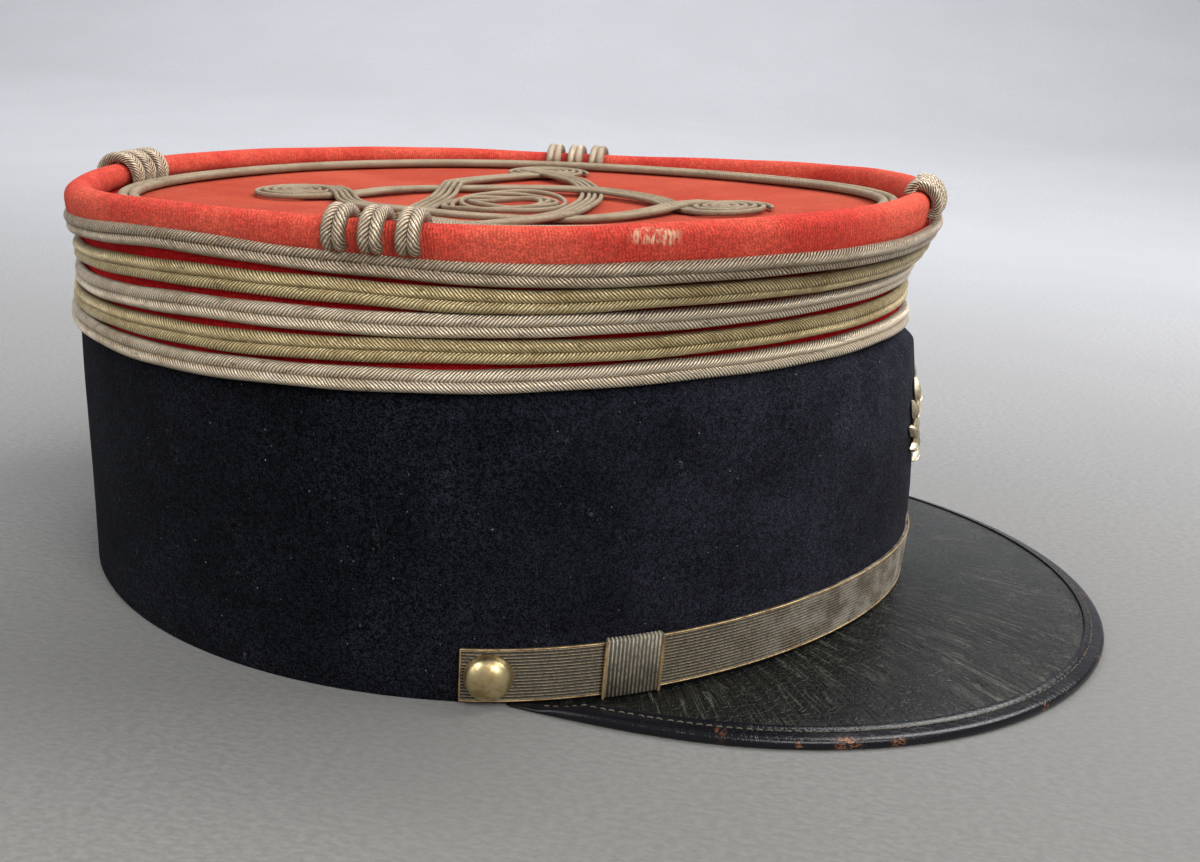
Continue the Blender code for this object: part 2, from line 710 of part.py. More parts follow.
def branch_point(hand, share):
    """Place across and up of a branch of the spray, from its foot to its tip."""
    turn = math.radians(-90.0 + 128.0 * share)
    across = hand * BADGE_HALF_WIDTH * 0.84 * math.cos(turn)
    up = BADGE_HALF_HEIGHT * 0.74 * math.sin(turn)
    return across, up


def make_front_badge():
    """Join the spray's two curved stems and its leaves into one raised badge."""
    stand_off = SEAT_GAP + BADGE_STEM_RADIUS
    stems = []
    count = 10
    for i in range(2 * count + 1):
        share = abs(i - count) / count
        across, up = branch_point(1.0 if i > count else -1.0, share)
        place = badge_place(across, up, stand_off)
        stems.append(place)
    sections = []
    for i, place in enumerate(stems):
        ahead = stems[min(i + 1, 2 * count)].translation - stems[max(i - 1, 0)].translation
        facing = place.col[2].to_3d()
        side = facing.cross(ahead).normalized()
        section = []
        for turn in station_angles(step=72.0):
            section.append(place.translation + side * (BADGE_STEM_RADIUS * math.cos(math.radians(turn)))
                           + facing * (BADGE_STEM_RADIUS * math.sin(math.radians(turn))))
        sections.append(section)
    mesh = loft_mesh("front_badge", sections, False)
    leaves = bmesh.new()
    for hand in (-1.0, 1.0):
        for pair in range(LEAF_PAIRS):
            share = (pair + 0.75) / (LEAF_PAIRS + 0.1)
            ahead = Vector(branch_point(hand, share + 0.05)) - Vector(branch_point(hand, share - 0.05))
            heading = math.atan2(ahead.y, ahead.x)
            for spread in (-0.62, 0.62):
                across, up = branch_point(hand, share)
                lean = heading + spread
                across += math.cos(lean) * LEAF_LENGTH * 0.40
                up += math.sin(lean) * LEAF_LENGTH * 0.40
                place = badge_place(across, up, SEAT_GAP + LEAF_THICKNESS / 2)
                size = Matrix.Diagonal((LEAF_LENGTH / 2, LEAF_WIDTH / 2, LEAF_THICKNESS / 2, 1.0))
                matrix = place @ Matrix.Rotation(lean, 4, "Z") @ size @ Matrix.Rotation(math.pi / 2, 4, "Y")
                bmesh.ops.create_uvsphere(leaves, u_segments=4, v_segments=3, radius=1.0, matrix=matrix)
    leaf_mesh = bpy.data.meshes.new("badge_leaves")
    leaves.to_mesh(leaf_mesh)
    leaves.free()
    cutter = bpy.data.objects.new("badge_leaves", leaf_mesh)
    cutter.hide_render = True
    cutter.display_type = "WIRE"
    guide_parts.objects.link(cutter)
    cutter.parent = cap_root
    badge = finish_object("front_badge", mesh, GILT)
    joined = badge.modifiers.new("leaves", "BOOLEAN")
    joined.operation = "UNION"
    joined.object = cutter
    joined.solver = "EXACT"
    joined.use_self = True
    return badge


def centre_on_box():
    """Move the whole cap so that its origin is under the middle of its box."""
    graph = bpy.context.evaluated_depsgraph_get()
    lows = []
    highs = []
    for piece in cap_parts.objects:
        if piece.type != "MESH":
            continue
        shape = piece.evaluated_get(graph)
        places = [shape.matrix_world @ vert.co for vert in shape.data.vertices]
        lows.append(min(place.x for place in places))
        highs.append(max(place.x for place in places))
    cap_root.location.x = -(min(lows) + max(highs)) / 2


clear_scene()
cap_parts = make_collection("kepi_cap")
guide_parts = make_collection("guides")
cap_root = bpy.data.objects.new("cap_root", None)
cap_parts.objects.link(cap_root)

make_band()
make_turban()
make_top_disc()
for row_number in range(1, ROW_COUNT + 1):
    make_braid_row(row_number)
for side_name, side_angle in (("front", -8.0), ("right", 91.3), ("back", 184.6), ("left", 268.2)):
    for braid_number in range(1, RIM_BRAIDS_PER_SIDE + 1):
        make_rim_braid(side_name, braid_number, side_angle)
make_top_ring_braid()
make_top_knot()
make_peak()
make_peak_binding()
make_chin_strap()
for side_name, side_hand in (("left", -1.0), ("right", 1.0)):
    make_strap_slide(side_name, side_hand)
    make_button(side_name, side_hand)
make_front_badge()
bpy.context.view_layer.update()
centre_on_box()
bpy.context.view_layer.update()
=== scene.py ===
"""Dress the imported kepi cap: cloth, cords, leather, ribbon and brass, with floor, light and camera.

Lengths are in metres. The pieces are built about the middle of the head opening,
with +X to the peak and +Z up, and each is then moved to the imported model's frame.
"""
import logging
import math
import random
from dataclasses import dataclass, field
from enum import Enum
from typing import Callable, Sequence

import bmesh
import bpy
from mathutils import Matrix, Vector

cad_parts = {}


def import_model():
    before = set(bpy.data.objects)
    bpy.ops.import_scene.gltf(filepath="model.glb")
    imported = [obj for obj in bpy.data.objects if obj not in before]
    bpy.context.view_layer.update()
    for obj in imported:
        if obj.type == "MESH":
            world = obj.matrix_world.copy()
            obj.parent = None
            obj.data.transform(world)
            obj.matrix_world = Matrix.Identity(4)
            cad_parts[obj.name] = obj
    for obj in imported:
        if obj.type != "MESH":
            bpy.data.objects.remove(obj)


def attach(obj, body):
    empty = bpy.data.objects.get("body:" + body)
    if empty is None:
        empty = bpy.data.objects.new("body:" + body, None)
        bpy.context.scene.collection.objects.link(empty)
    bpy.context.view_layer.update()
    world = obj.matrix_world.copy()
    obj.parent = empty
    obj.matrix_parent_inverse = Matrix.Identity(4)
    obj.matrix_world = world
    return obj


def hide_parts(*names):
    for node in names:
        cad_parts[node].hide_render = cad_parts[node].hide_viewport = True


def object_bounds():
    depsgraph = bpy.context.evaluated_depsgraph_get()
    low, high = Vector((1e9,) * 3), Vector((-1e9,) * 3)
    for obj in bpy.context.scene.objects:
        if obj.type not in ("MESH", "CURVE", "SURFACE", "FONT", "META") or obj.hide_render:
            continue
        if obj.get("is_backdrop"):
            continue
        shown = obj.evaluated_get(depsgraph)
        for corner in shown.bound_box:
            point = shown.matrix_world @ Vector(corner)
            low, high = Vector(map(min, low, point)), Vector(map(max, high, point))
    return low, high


MM = 0.001
log = logging.getLogger("kepi")


class Side(Enum):
    """A side of the cap, with the sign of its Y."""

    LEFT = -1.0
    RIGHT = 1.0


class Quarter(Enum):
    """A place where braid hooks over the rim, with its angle in degrees."""

    FRONT = -8.0
    RIGHT = 91.3
    BACK = 184.6
    LEFT = 268.2


class Twist(Enum):
    """The hand in which a cord's threads are wound."""

    S = -1
    Z = 1


@dataclass(frozen=True)
class Ring:
    """Shape of one level ring of the cap, as shares of the head's half sizes.

    Rise and bow are shares of the crown's height; dent says how far the near
    side's dents reach the ring.
    """

    rise: float
    bow: float
    front: float
    rear: float
    side: float
    egg: float
    square: float
    dent: float = 0.0


@dataclass(frozen=True)
class Dent:
    """A shallow dent or swell of a side.

    Place and spread are in degrees, and depth is a share of the crown's height.
    """

    place: float
    spread: float
    depth: float


def cap_rings() -> dict[str, Ring]:
    """Return the cap's rings by name, from the hem up.

    Returns:
        The rings, with the rows counted from the rim down.
    """
    return {
        "hem": Ring(0.0, 0.0, 0.965, 1.0, 1.0, -0.062, -0.018),
        "waist": Ring(0.0234, 0.0016, 0.977, 1.0136, 1.006, -0.051, -0.027),
        "belly": Ring(0.0480, 0.0032, 0.957, 1.0285, 1.013, -0.040, -0.036),
        "shoulder": Ring(0.0585, 0.0039, 0.938, 1.0320, 1.015, -0.035, -0.040),
        "tuck": Ring(0.0590, 0.0039, 0.897, 1.0228, 1.0116, -0.035, -0.040),
        "row_5": Ring(0.0596, 0.0039, 0.894, 1.0199, 1.0098, -0.035, -0.040),
        "row_4": Ring(0.0617, 0.0080, 0.882, 0.9902, 1.0073, -0.031, -0.015),
        "row_3": Ring(0.0649, 0.0122, 0.887, 0.9648, 1.0047, -0.027, 0.010, 0.35),
        "row_2": Ring(0.0564, 0.0164, 0.914, 0.9462, 1.0022, -0.022, 0.034, 0.7),
        "row_1": Ring(0.0436, 0.0206, 0.9335, 0.9442, 0.9997, -0.018, 0.059, 1.0),
        "roll": Ring(0.0479, 0.0216, 0.9117, 0.9379, 0.9983, -0.018, 0.059, 0.5),
    }


def level(direction: Vector) -> Vector:
    """Return the level unit vector of a direction."""
    return Vector((direction.x, direction.y, 0.0)).normalized()


def face_up(_: int) -> Vector:
    """Return the direction off a level seat, the same all along a cord."""
    return Vector((0.0, 0.0, 1.0))


def smooth_share(value: float, low: float, high: float) -> float:
    """Return the eased share, 0 to 1, that a value has gone from low to high."""
    share = min(max((value - low) / (high - low), 0.0), 1.0)
    return share * share * (3.0 - 2.0 * share)


def angles_between(first: float, last: float, count: int) -> list[float]:
    """Return count + 1 even angles from first to last."""
    return [first + (last - first) * i / count for i in range(count + 1)]


def angles_round(count: int) -> list[float]:
    """Return count even angles all round, in degrees."""
    return [360.0 * i / count for i in range(count)]


@dataclass
class CapShape:
    """The cap's outer form: rings, headband, rim roll, sunken top and strap line."""

    half_length: float = 103.0 * MM
    half_width: float = 86.5 * MM
    crown: float = 94.0 * MM
    rim_to_first_row: float = 7.3 * MM
    row_pitch: float = 5.5 * MM
    row_count: int = 5
    cord_radius: float = 1.15 * MM
    gap: float = 0.3 * MM
    roll_radius: float = 2.8 * MM
    shoulder_below_row: float = 6.1 * MM
    tuck_below_row: float = 2.7 * MM
    waist_share: float = 0.40
    belly_share: float = 0.82
    top_depth: float = 3.4 * MM
    top_front_drop: float = 2.0 * MM
    top_rear_drop: float = 2.8 * MM
    top_sag: float = 3.6 * MM
    strap_bottom: float = 1.0 * MM
    strap_rise: float = 8.0 * MM
    strap_rise_from: float = 14.0 * MM
    strap_rise_power: float = 1.5
    strap_above_peak: float = 1.0 * MM
    peak_thickness: float = 1.8 * MM
    rings: dict[str, Ring] = field(default_factory=cap_rings)
    dents: tuple[Dent, ...] = (Dent(-118.0, 13.0, 0.0114), Dent(-79.0, 17.0, -0.0180),
                               Dent(-155.0, 13.0, -0.0150), Dent(118.0, 32.0, 0.0180))
    band_rings: tuple[str, ...] = ("hem", "waist", "belly", "shoulder", "tuck", "row_5")

    def row_height(self, row: float) -> float:
        """Return the height of a braid row's middle at the cap's middle."""
        return self.crown - self.rim_to_first_row - (row - 1) * self.row_pitch

    def ring_height(self, name: str) -> float:
        """Return the height of a named ring at the cap's middle.

        Args:
            name: The ring's name.

        Returns:
            The height above the floor.
        """
        shoulder = self.row_height(self.row_count) - self.shoulder_below_row
        heights = {
            "hem": 0.0,
            "waist": self.waist_share * shoulder,
            "belly": self.belly_share * shoulder,
            "shoulder": shoulder,
            "tuck": self.row_height(self.row_count) - self.tuck_below_row,
            "roll": self.crown - self.roll_radius,
        }
        return heights[name] if name in heights else self.row_height(int(name.split("_")[1]))

    def dent_depth(self, angle: float) -> float:
        """Return the height change of the near side's dents at an angle in degrees.

        Args:
            angle: Angle in degrees, 0 at the front.

        Returns:
            The change of height, positive upwards.
        """
        depth = 0.0
        for dent in self.dents:
            away = (angle - dent.place + 180.0) % 360.0 - 180.0
            depth += dent.depth * math.exp(-((away / dent.spread) ** 2))
        return depth * self.crown

    def plan(self, name: str, angle: float) -> Vector:
        """Return the plan point of a ring at an angle in degrees, 0 at the front.

        Args:
            name: The ring's name.
            angle: Angle in degrees, 0 at the front.

        Returns:
            The point at zero height.
        """
        ring = self.rings[name]
        turn = math.radians(angle)
        front = ring.front * self.half_length
        rear = ring.rear * self.half_length
        x = (front - rear) / 2 + (front + rear) / 2 * math.cos(turn)
        full = (math.sin(turn) + ring.square * math.sin(3 * turn)) / (1 - ring.square)
        return Vector((x, ring.side * self.half_width * full * (1 + ring.egg * math.cos(turn)), 0.0))

    def point(self, name: str, angle: float) -> Vector:
        """Return the point of a ring on the cap's outer surface.

        Args:
            name: The ring's name.
            angle: Angle in degrees, 0 at the front.

        Returns:
            The point.
        """
        ring = self.rings[name]
        turn = math.cos(math.radians(angle))
        lift = self.crown * (ring.rise * turn + ring.bow * turn * turn)
        place = self.plan(name, angle)
        place.z = self.ring_height(name) + lift + ring.dent * self.dent_depth(angle)
        return place

    def step(self, name: str, angle: float) -> float:
        """Return the length of one degree of a ring."""
        return (self.plan(name, angle + 0.5) - self.plan(name, angle - 0.5)).length

    def along(self, name: str, angle: float) -> Vector:
        """Return the unit direction along a ring, anticlockwise from above."""
        return (self.plan(name, angle + 0.5) - self.plan(name, angle - 0.5)).normalized()

    def out(self, name: str, angle: float) -> Vector:
        """Return the level unit direction out of a ring."""
        along = self.along(name, angle)
        return Vector((along.y, -along.x, 0.0))

    def band(self, angle: float, height: float, out: float = 0.0) -> Vector:
        """Return a point of the headband's outer face.

        Args:
            angle: Angle in degrees, 0 at the front.
            height: Height above the floor.
            out: Distance that the point stands off the face.

        Returns:
            The point.
        """
        low = self.point(self.band_rings[0], angle)
        high = low
        for name in self.band_rings[1:]:
            high = self.point(name, angle)
            if high.z >= height:
                break
            low = high
        place = low.lerp(high, (height - low.z) / (high.z - low.z)) + self.out("hem", angle) * out
        place.z = height
        return place

    def strap_line(self, x: float) -> float:
        """Return the height of the strap's lower edge at a distance to the front."""
        share = (x - self.strap_rise_from) / (self.half_length - self.strap_rise_from)
        return self.strap_bottom + self.strap_rise * min(max(share, 0.0), 1.0) ** self.strap_rise_power

    def peak_root(self, x: float) -> float:
        """Return the height of the peak's upper face where it meets the headband."""
        return self.strap_line(x) - self.strap_above_peak

    def hem(self, x: float) -> float:
        """Return the height of the headband's lower edge, which rises over the peak."""
        return max(self.peak_root(x) - self.peak_thickness, 0.0)

    def top(self, x: float, y: float) -> float:
        """Return the height of the sunken top's upper face.

        Args:
            x: Distance to the front.
            y: Distance to the right side.

        Returns:
            The height above the floor.
        """
        roll = self.rings["roll"]
        front = roll.front * self.half_length
        rear = roll.rear * self.half_length
        along = (x - (front - rear) / 2) / ((front + rear) / 2)
        across = y / (roll.side * self.half_width)
        rim = self.crown * (1 + roll.rise * along + roll.bow * along * along)
        sag = self.top_sag * max(1.0 - along * along - across * across, 0.0)
        end_drop = self.top_rear_drop * min(along, 0.0) ** 2 + self.top_front_drop * max(along, 0.0) ** 2
        return rim - self.top_depth - end_drop - sag

    def roll(self, angle: float, turn: float, off: float = 0.0) -> Vector:
        """Return a point of the rim roll's round, or off it.

        Args:
            angle: Angle round the cap in degrees.
            turn: Angle round the roll in degrees, 0 outwards and 90 up.
            off: Distance off the roll's face.

        Returns:
            The point.
        """
        reach = self.roll_radius + off
        out = self.out("roll", angle) * (reach * math.cos(math.radians(turn)))
        return self.point("roll", angle) + out + Vector((0.0, 0.0, reach * math.sin(math.radians(turn))))

    def row_frame(self, row: int, angle: float) -> tuple[Vector, Vector, Vector]:
        """Return a braid row's middle and its upward and outward directions.

        Args:
            row: The row's number, 1 at the rim.
            angle: Angle in degrees, 0 at the front.

        Returns:
            The row's middle and the unit directions up along the wall and out of it.
        """
        name = f"row_{row}"
        above = self.point("roll" if row == 1 else f"row_{row - 1}", angle)
        below = self.point("tuck" if row == self.row_count else f"row_{row + 1}", angle)
        seat = self.point(name, angle)
        along = self.along(name, angle)
        upper = above - seat
        lower = seat - below
        if row == 1:
            upper = lower
        upper = (upper - along * upper.dot(along)).normalized()
        lower = (lower - along * lower.dot(along)).normalized()
        up = (upper + lower).normalized()
        out = along.cross(up).normalized()
        hollow = max((upper - lower).dot(out), 0.0) / 2
        return seat + out * (self.cord_radius * (1 + hollow) + self.gap), up, out


Rows = Sequence[Sequence[Vector]]


@dataclass
class Skin:
    """Gathers lofted rows of points into one mesh with a map of lengths.

    The map holds the length along the loft in millimetres and the place round
    each section, 0 to 1 unless the loft says otherwise.
    """

    points: list[Vector] = field(default_factory=list)
    faces: list[tuple[int, ...]] = field(default_factory=list)
    corners: list[tuple[float, float]] = field(default_factory=list)

    def loft(self, rows: Rows, closed: bool = False, capped: bool = True, girth: Sequence[float] = (),
             mirror: bool = False, ringed: bool = True) -> None:
        """Skin a row of equal sections.

        Args:
            rows: The sections, each with the same number of points.
            closed: Whether the last section joins the first.
            capped: Whether an open loft gets a face at each end.
            girth: Map values across the section, one more than its points.
            mirror: Whether the map runs the other way round the section.
            ringed: Whether each section is a closed loop.
        """
        base = len(self.points)
        size = len(rows[0])
        count = len(rows)
        middles = [sum(row, Vector()) / size for row in rows]
        lengths = [0.0]
        for i in range(1, count + (1 if closed else 0)):
            lengths.append(lengths[-1] + (middles[i % count] - middles[i - 1]).length / MM)
        places = list(girth) if girth else [j / size for j in range(size + 1)]
        if mirror:
            places = [1.0 - place for place in places]
        for row in rows:
            self.points.extend(row)
        for i in range(count if closed else count - 1):
            here = base + i * size
            there = base + (i + 1) % count * size
            for j in range(size if ringed else size - 1):
                k = (j + 1) % size
                self.faces.append((here + j, here + k, there + k, there + j))
                self.corners.extend(((lengths[i], places[j]), (lengths[i], places[j + 1]),
                                     (lengths[i + 1], places[j + 1]), (lengths[i + 1], places[j])))
        if capped and not closed and ringed:
            for first, length in ((base, lengths[0]), (base + (count - 1) * size, lengths[-1])):
                self.faces.append(tuple(first + j for j in range(size)))
                self.corners.extend((length, places[j]) for j in range(size))

    def tube(self, path: Sequence[Vector], radius: float, facing: Callable[[int], Vector],
             closed: bool = False, sides: int = 12, twist: Twist = Twist.Z, flat: float = 1.0,
             taper: float = 0.0) -> None:
        """Sweep a round cord along a path.

        Args:
            path: The points that the cord's middle follows.
            radius: The cord's radius.
            facing: Gives the direction off the seat at each point of the path.
            closed: Whether the path is a loop.
            sides: Number of points round the cord.
            twist: Hand of the threads.
            flat: Height of the cord as a share of its width.
            taper: Share of the radius lost at both ends.
        """
        count = len(path)
        rows = []
        for i, middle in enumerate(path):
            ahead = path[(i + 1) % count if closed else min(i + 1, count - 1)]
            behind = path[(i - 1) % count if closed else max(i - 1, 0)]
            along = (ahead - behind).normalized()
            across = along.cross(facing(i)).normalized()
            out = across.cross(along).normalized()
            size = radius
            if taper and not closed:
                near_end = min(i, count - 1 - i)
                size *= 1.0 - taper * (1.0 if near_end == 0 else 0.25 if near_end == 1 else 0.0)
            row = []
            for j in range(sides):
                turn = 2 * math.pi * j / sides
                row.append(middle + across * (size * math.cos(turn)) + out * (size * flat * math.sin(turn)))
            rows.append(row)
        self.loft(rows, closed=closed, mirror=twist is Twist.S)

    def build(self, name: str, material: bpy.types.Material, sharp: float = 50.0,
              weld: bool = False) -> bpy.types.Object:
        """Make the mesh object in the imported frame.

        Args:
            name: The piece's name.
            material: Its finish.
            sharp: Edges bent by more than this many degrees stay crisp.
            weld: Whether points that lie on each other become one.

        Returns:
            The object.
        """
        mesh = bpy.data.meshes.new(name)
        mesh.from_pydata([tuple(point) for point in self.points], [], self.faces)
        layer = mesh.uv_layers.new(name="lengths")
        layer.data.foreach_set("uv", [value for corner in self.corners for value in corner])
        tidy = bmesh.new()
        tidy.from_mesh(mesh)
        if weld:
            bmesh.ops.remove_doubles(tidy, verts=tidy.verts, dist=0.001 * MM)
        bmesh.ops.recalc_face_normals(tidy, faces=tidy.faces)
        tidy.to_mesh(mesh)
        tidy.free()
        mesh.shade_smooth()
        mesh.set_sharp_from_angle(angle=math.radians(sharp))
        mesh.materials.append(material)
        piece = bpy.data.objects.new(name, mesh)
        piece.location.x = Placement.shift
        bpy.context.scene.collection.objects.link(piece)
        bpy.context.view_layer.update()
        return piece


class Placement:
    """Where the head opening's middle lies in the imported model's frame."""

    shift: float = 0.0
    peak_tip: float = 148.814 * MM

    @classmethod
    def read(cls, high: Sequence[float]) -> None:
        """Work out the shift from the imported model's highest corner."""
        cls.shift = high[0] - cls.peak_tip


def seat_piece(piece: bpy.types.Object, slot: str, *nodes: str) -> bpy.types.Object:
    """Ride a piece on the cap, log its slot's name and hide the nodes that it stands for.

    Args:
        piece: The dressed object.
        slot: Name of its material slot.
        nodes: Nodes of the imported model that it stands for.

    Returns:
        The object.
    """
    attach(piece, "root")
    if nodes:
        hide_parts(*nodes)
    log.info("%s: %d faces, slot %s", piece.name, len(piece.data.polygons), slot)
    return piece


class Graph:
    """Adds and joins the nodes of one tree."""

    def __init__(self, tree: bpy.types.NodeTree) -> None:
        """Start on a tree."""
        self.tree = tree

    def node(self, kind: str, inputs: dict | None = None, **settings: object) -> bpy.types.Node:
        """Add a node.

        Args:
            kind: The node's Blender type.
            inputs: Values or sockets by input name or number.
            settings: Attributes to set.

        Returns:
            The node.
        """
        made = self.tree.nodes.new(kind)
        for key, value in settings.items():
            setattr(made, key, value)
        self.feed_all(made, inputs or {})
        return made

    def feed_all(self, target: bpy.types.Node, inputs: dict) -> None:
        """Feed a node's inputs by name or number."""
        for key, value in inputs.items():
            self.feed(target.inputs[key], value)

    def feed(self, target: bpy.types.NodeSocket, value: object) -> None:
        """Join a socket to an input, or set the input's own value.

        Args:
            target: The input to set.
            value: A socket, a number or a colour.
        """
        if isinstance(value, bpy.types.NodeSocket):
            self.tree.links.new(value, target)
        elif isinstance(value, tuple) and len(value) == 3 and target.type == "RGBA":
            target.default_value = (*value, 1.0)
        else:
            target.default_value = value

    def math(self, operation: str, first: object, second: object = 0.0, third: object = 0.0,
             clamp: bool = False) -> bpy.types.NodeSocket:
        """Add a Math node and return its output.

        Args:
            operation: The node's operation.
            first: First value or socket.
            second: Second value or socket.
            third: Third value or socket.
            clamp: Whether the result is kept between 0 and 1.

        Returns:
            The result's socket.
        """
        made = self.node("ShaderNodeMath", {0: first, 1: second, 2: third}, operation=operation,
                         use_clamp=clamp)
        return made.outputs[0]

    def times(self, first: object, second: object) -> bpy.types.NodeSocket:
        """Multiply two values."""
        return self.math("MULTIPLY", first, second)

    def plus(self, first: object, second: object, clamp: bool = False) -> bpy.types.NodeSocket:
        """Add two values."""
        return self.math("ADD", first, second, clamp=clamp)

    def times_plus(self, first: object, second: object, third: object,
                   clamp: bool = False) -> bpy.types.NodeSocket:
        """Multiply two values and add a third."""
        return self.math("MULTIPLY_ADD", first, second, third, clamp)

    def apart(self, value: object, middle: float) -> bpy.types.NodeSocket:
        """Return how far a value is from a middle."""
        return self.math("ABSOLUTE", self.math("SUBTRACT", value, middle))

    def span(self, value: object, low: float, high: float, start: float = 0.0,
             end: float = 1.0) -> bpy.types.NodeSocket:
        """Ease a value from low..high to start..end.

        Args:
            value: The value or socket to ease.
            low: Value that gives the start.
            high: Value that gives the end.
            start: Result at low.
            end: Result at high.

        Returns:
            The result's socket.
        """
        made = self.node("ShaderNodeMapRange", {"Value": value, "From Min": low, "From Max": high,
                                                "To Min": start, "To Max": end},
                         interpolation_type="SMOOTHSTEP")
        return made.outputs["Result"]

    def mix(self, share: object, first: object, second: object, blend: str = "MIX") -> bpy.types.NodeSocket:
        """Mix two colours."""
        made = self.node("ShaderNodeMix", {0: share, 6: first, 7: second}, data_type="RGBA", blend_type=blend)
        return made.outputs[2]

    def noise(self, place: object, scale: float, detail: float = 3.0,
              rough: float = 0.55) -> bpy.types.NodeSocket:
        """Return a noise value, 0 to 1, at a place.

        Args:
            place: The place's socket.
            scale: Number of blotches to a metre.
            detail: Number of finer layers.
            rough: Share of each finer layer.

        Returns:
            The noise's socket.
        """
        made = self.node("ShaderNodeTexNoise",
                         {"Vector": place, "Scale": scale, "Detail": detail, "Roughness": rough})
        return made.outputs["Fac"]

    def scaled(self, place: object, x: float, y: float, z: float) -> bpy.types.NodeSocket:
        """Return a place scaled along its axes."""
        return self.node("ShaderNodeMapping", {"Vector": place, "Scale": (x, y, z)}).outputs[0]

    def bump(self, height: object, strength: float, distance: float) -> bpy.types.NodeSocket:
        """Turn a height into a normal."""
        inputs = {"Height": height, "Strength": strength, "Distance": distance}
        return self.node("ShaderNodeBump", inputs).outputs[0]

    def split_map(self) -> tuple[bpy.types.NodeSocket, bpy.types.NodeSocket]:
        """Return the map's length along a piece in millimetres and its place across."""
        parts = self.node("ShaderNodeSeparateXYZ", {0: self.node("ShaderNodeTexCoord").outputs["UV"]})
        return parts.outputs[0], parts.outputs[1]

    def place(self) -> bpy.types.NodeSocket:
        """Return the place on the object."""
        return self.node("ShaderNodeTexCoord").outputs["Object"]

    def flat_place(self, x: object, y: object) -> bpy.types.NodeSocket:
        """Return a place at zero height."""
        return self.node("ShaderNodeCombineXYZ", {0: x, 1: y}).outputs[0]

    def place_part(self, number: int) -> bpy.types.NodeSocket:
        """Return the place's part along one axis, 0 for X."""
        return self.node("ShaderNodeSeparateXYZ", {0: self.place()}).outputs[number]


Outputs = dict[str, bpy.types.NodeSocket]


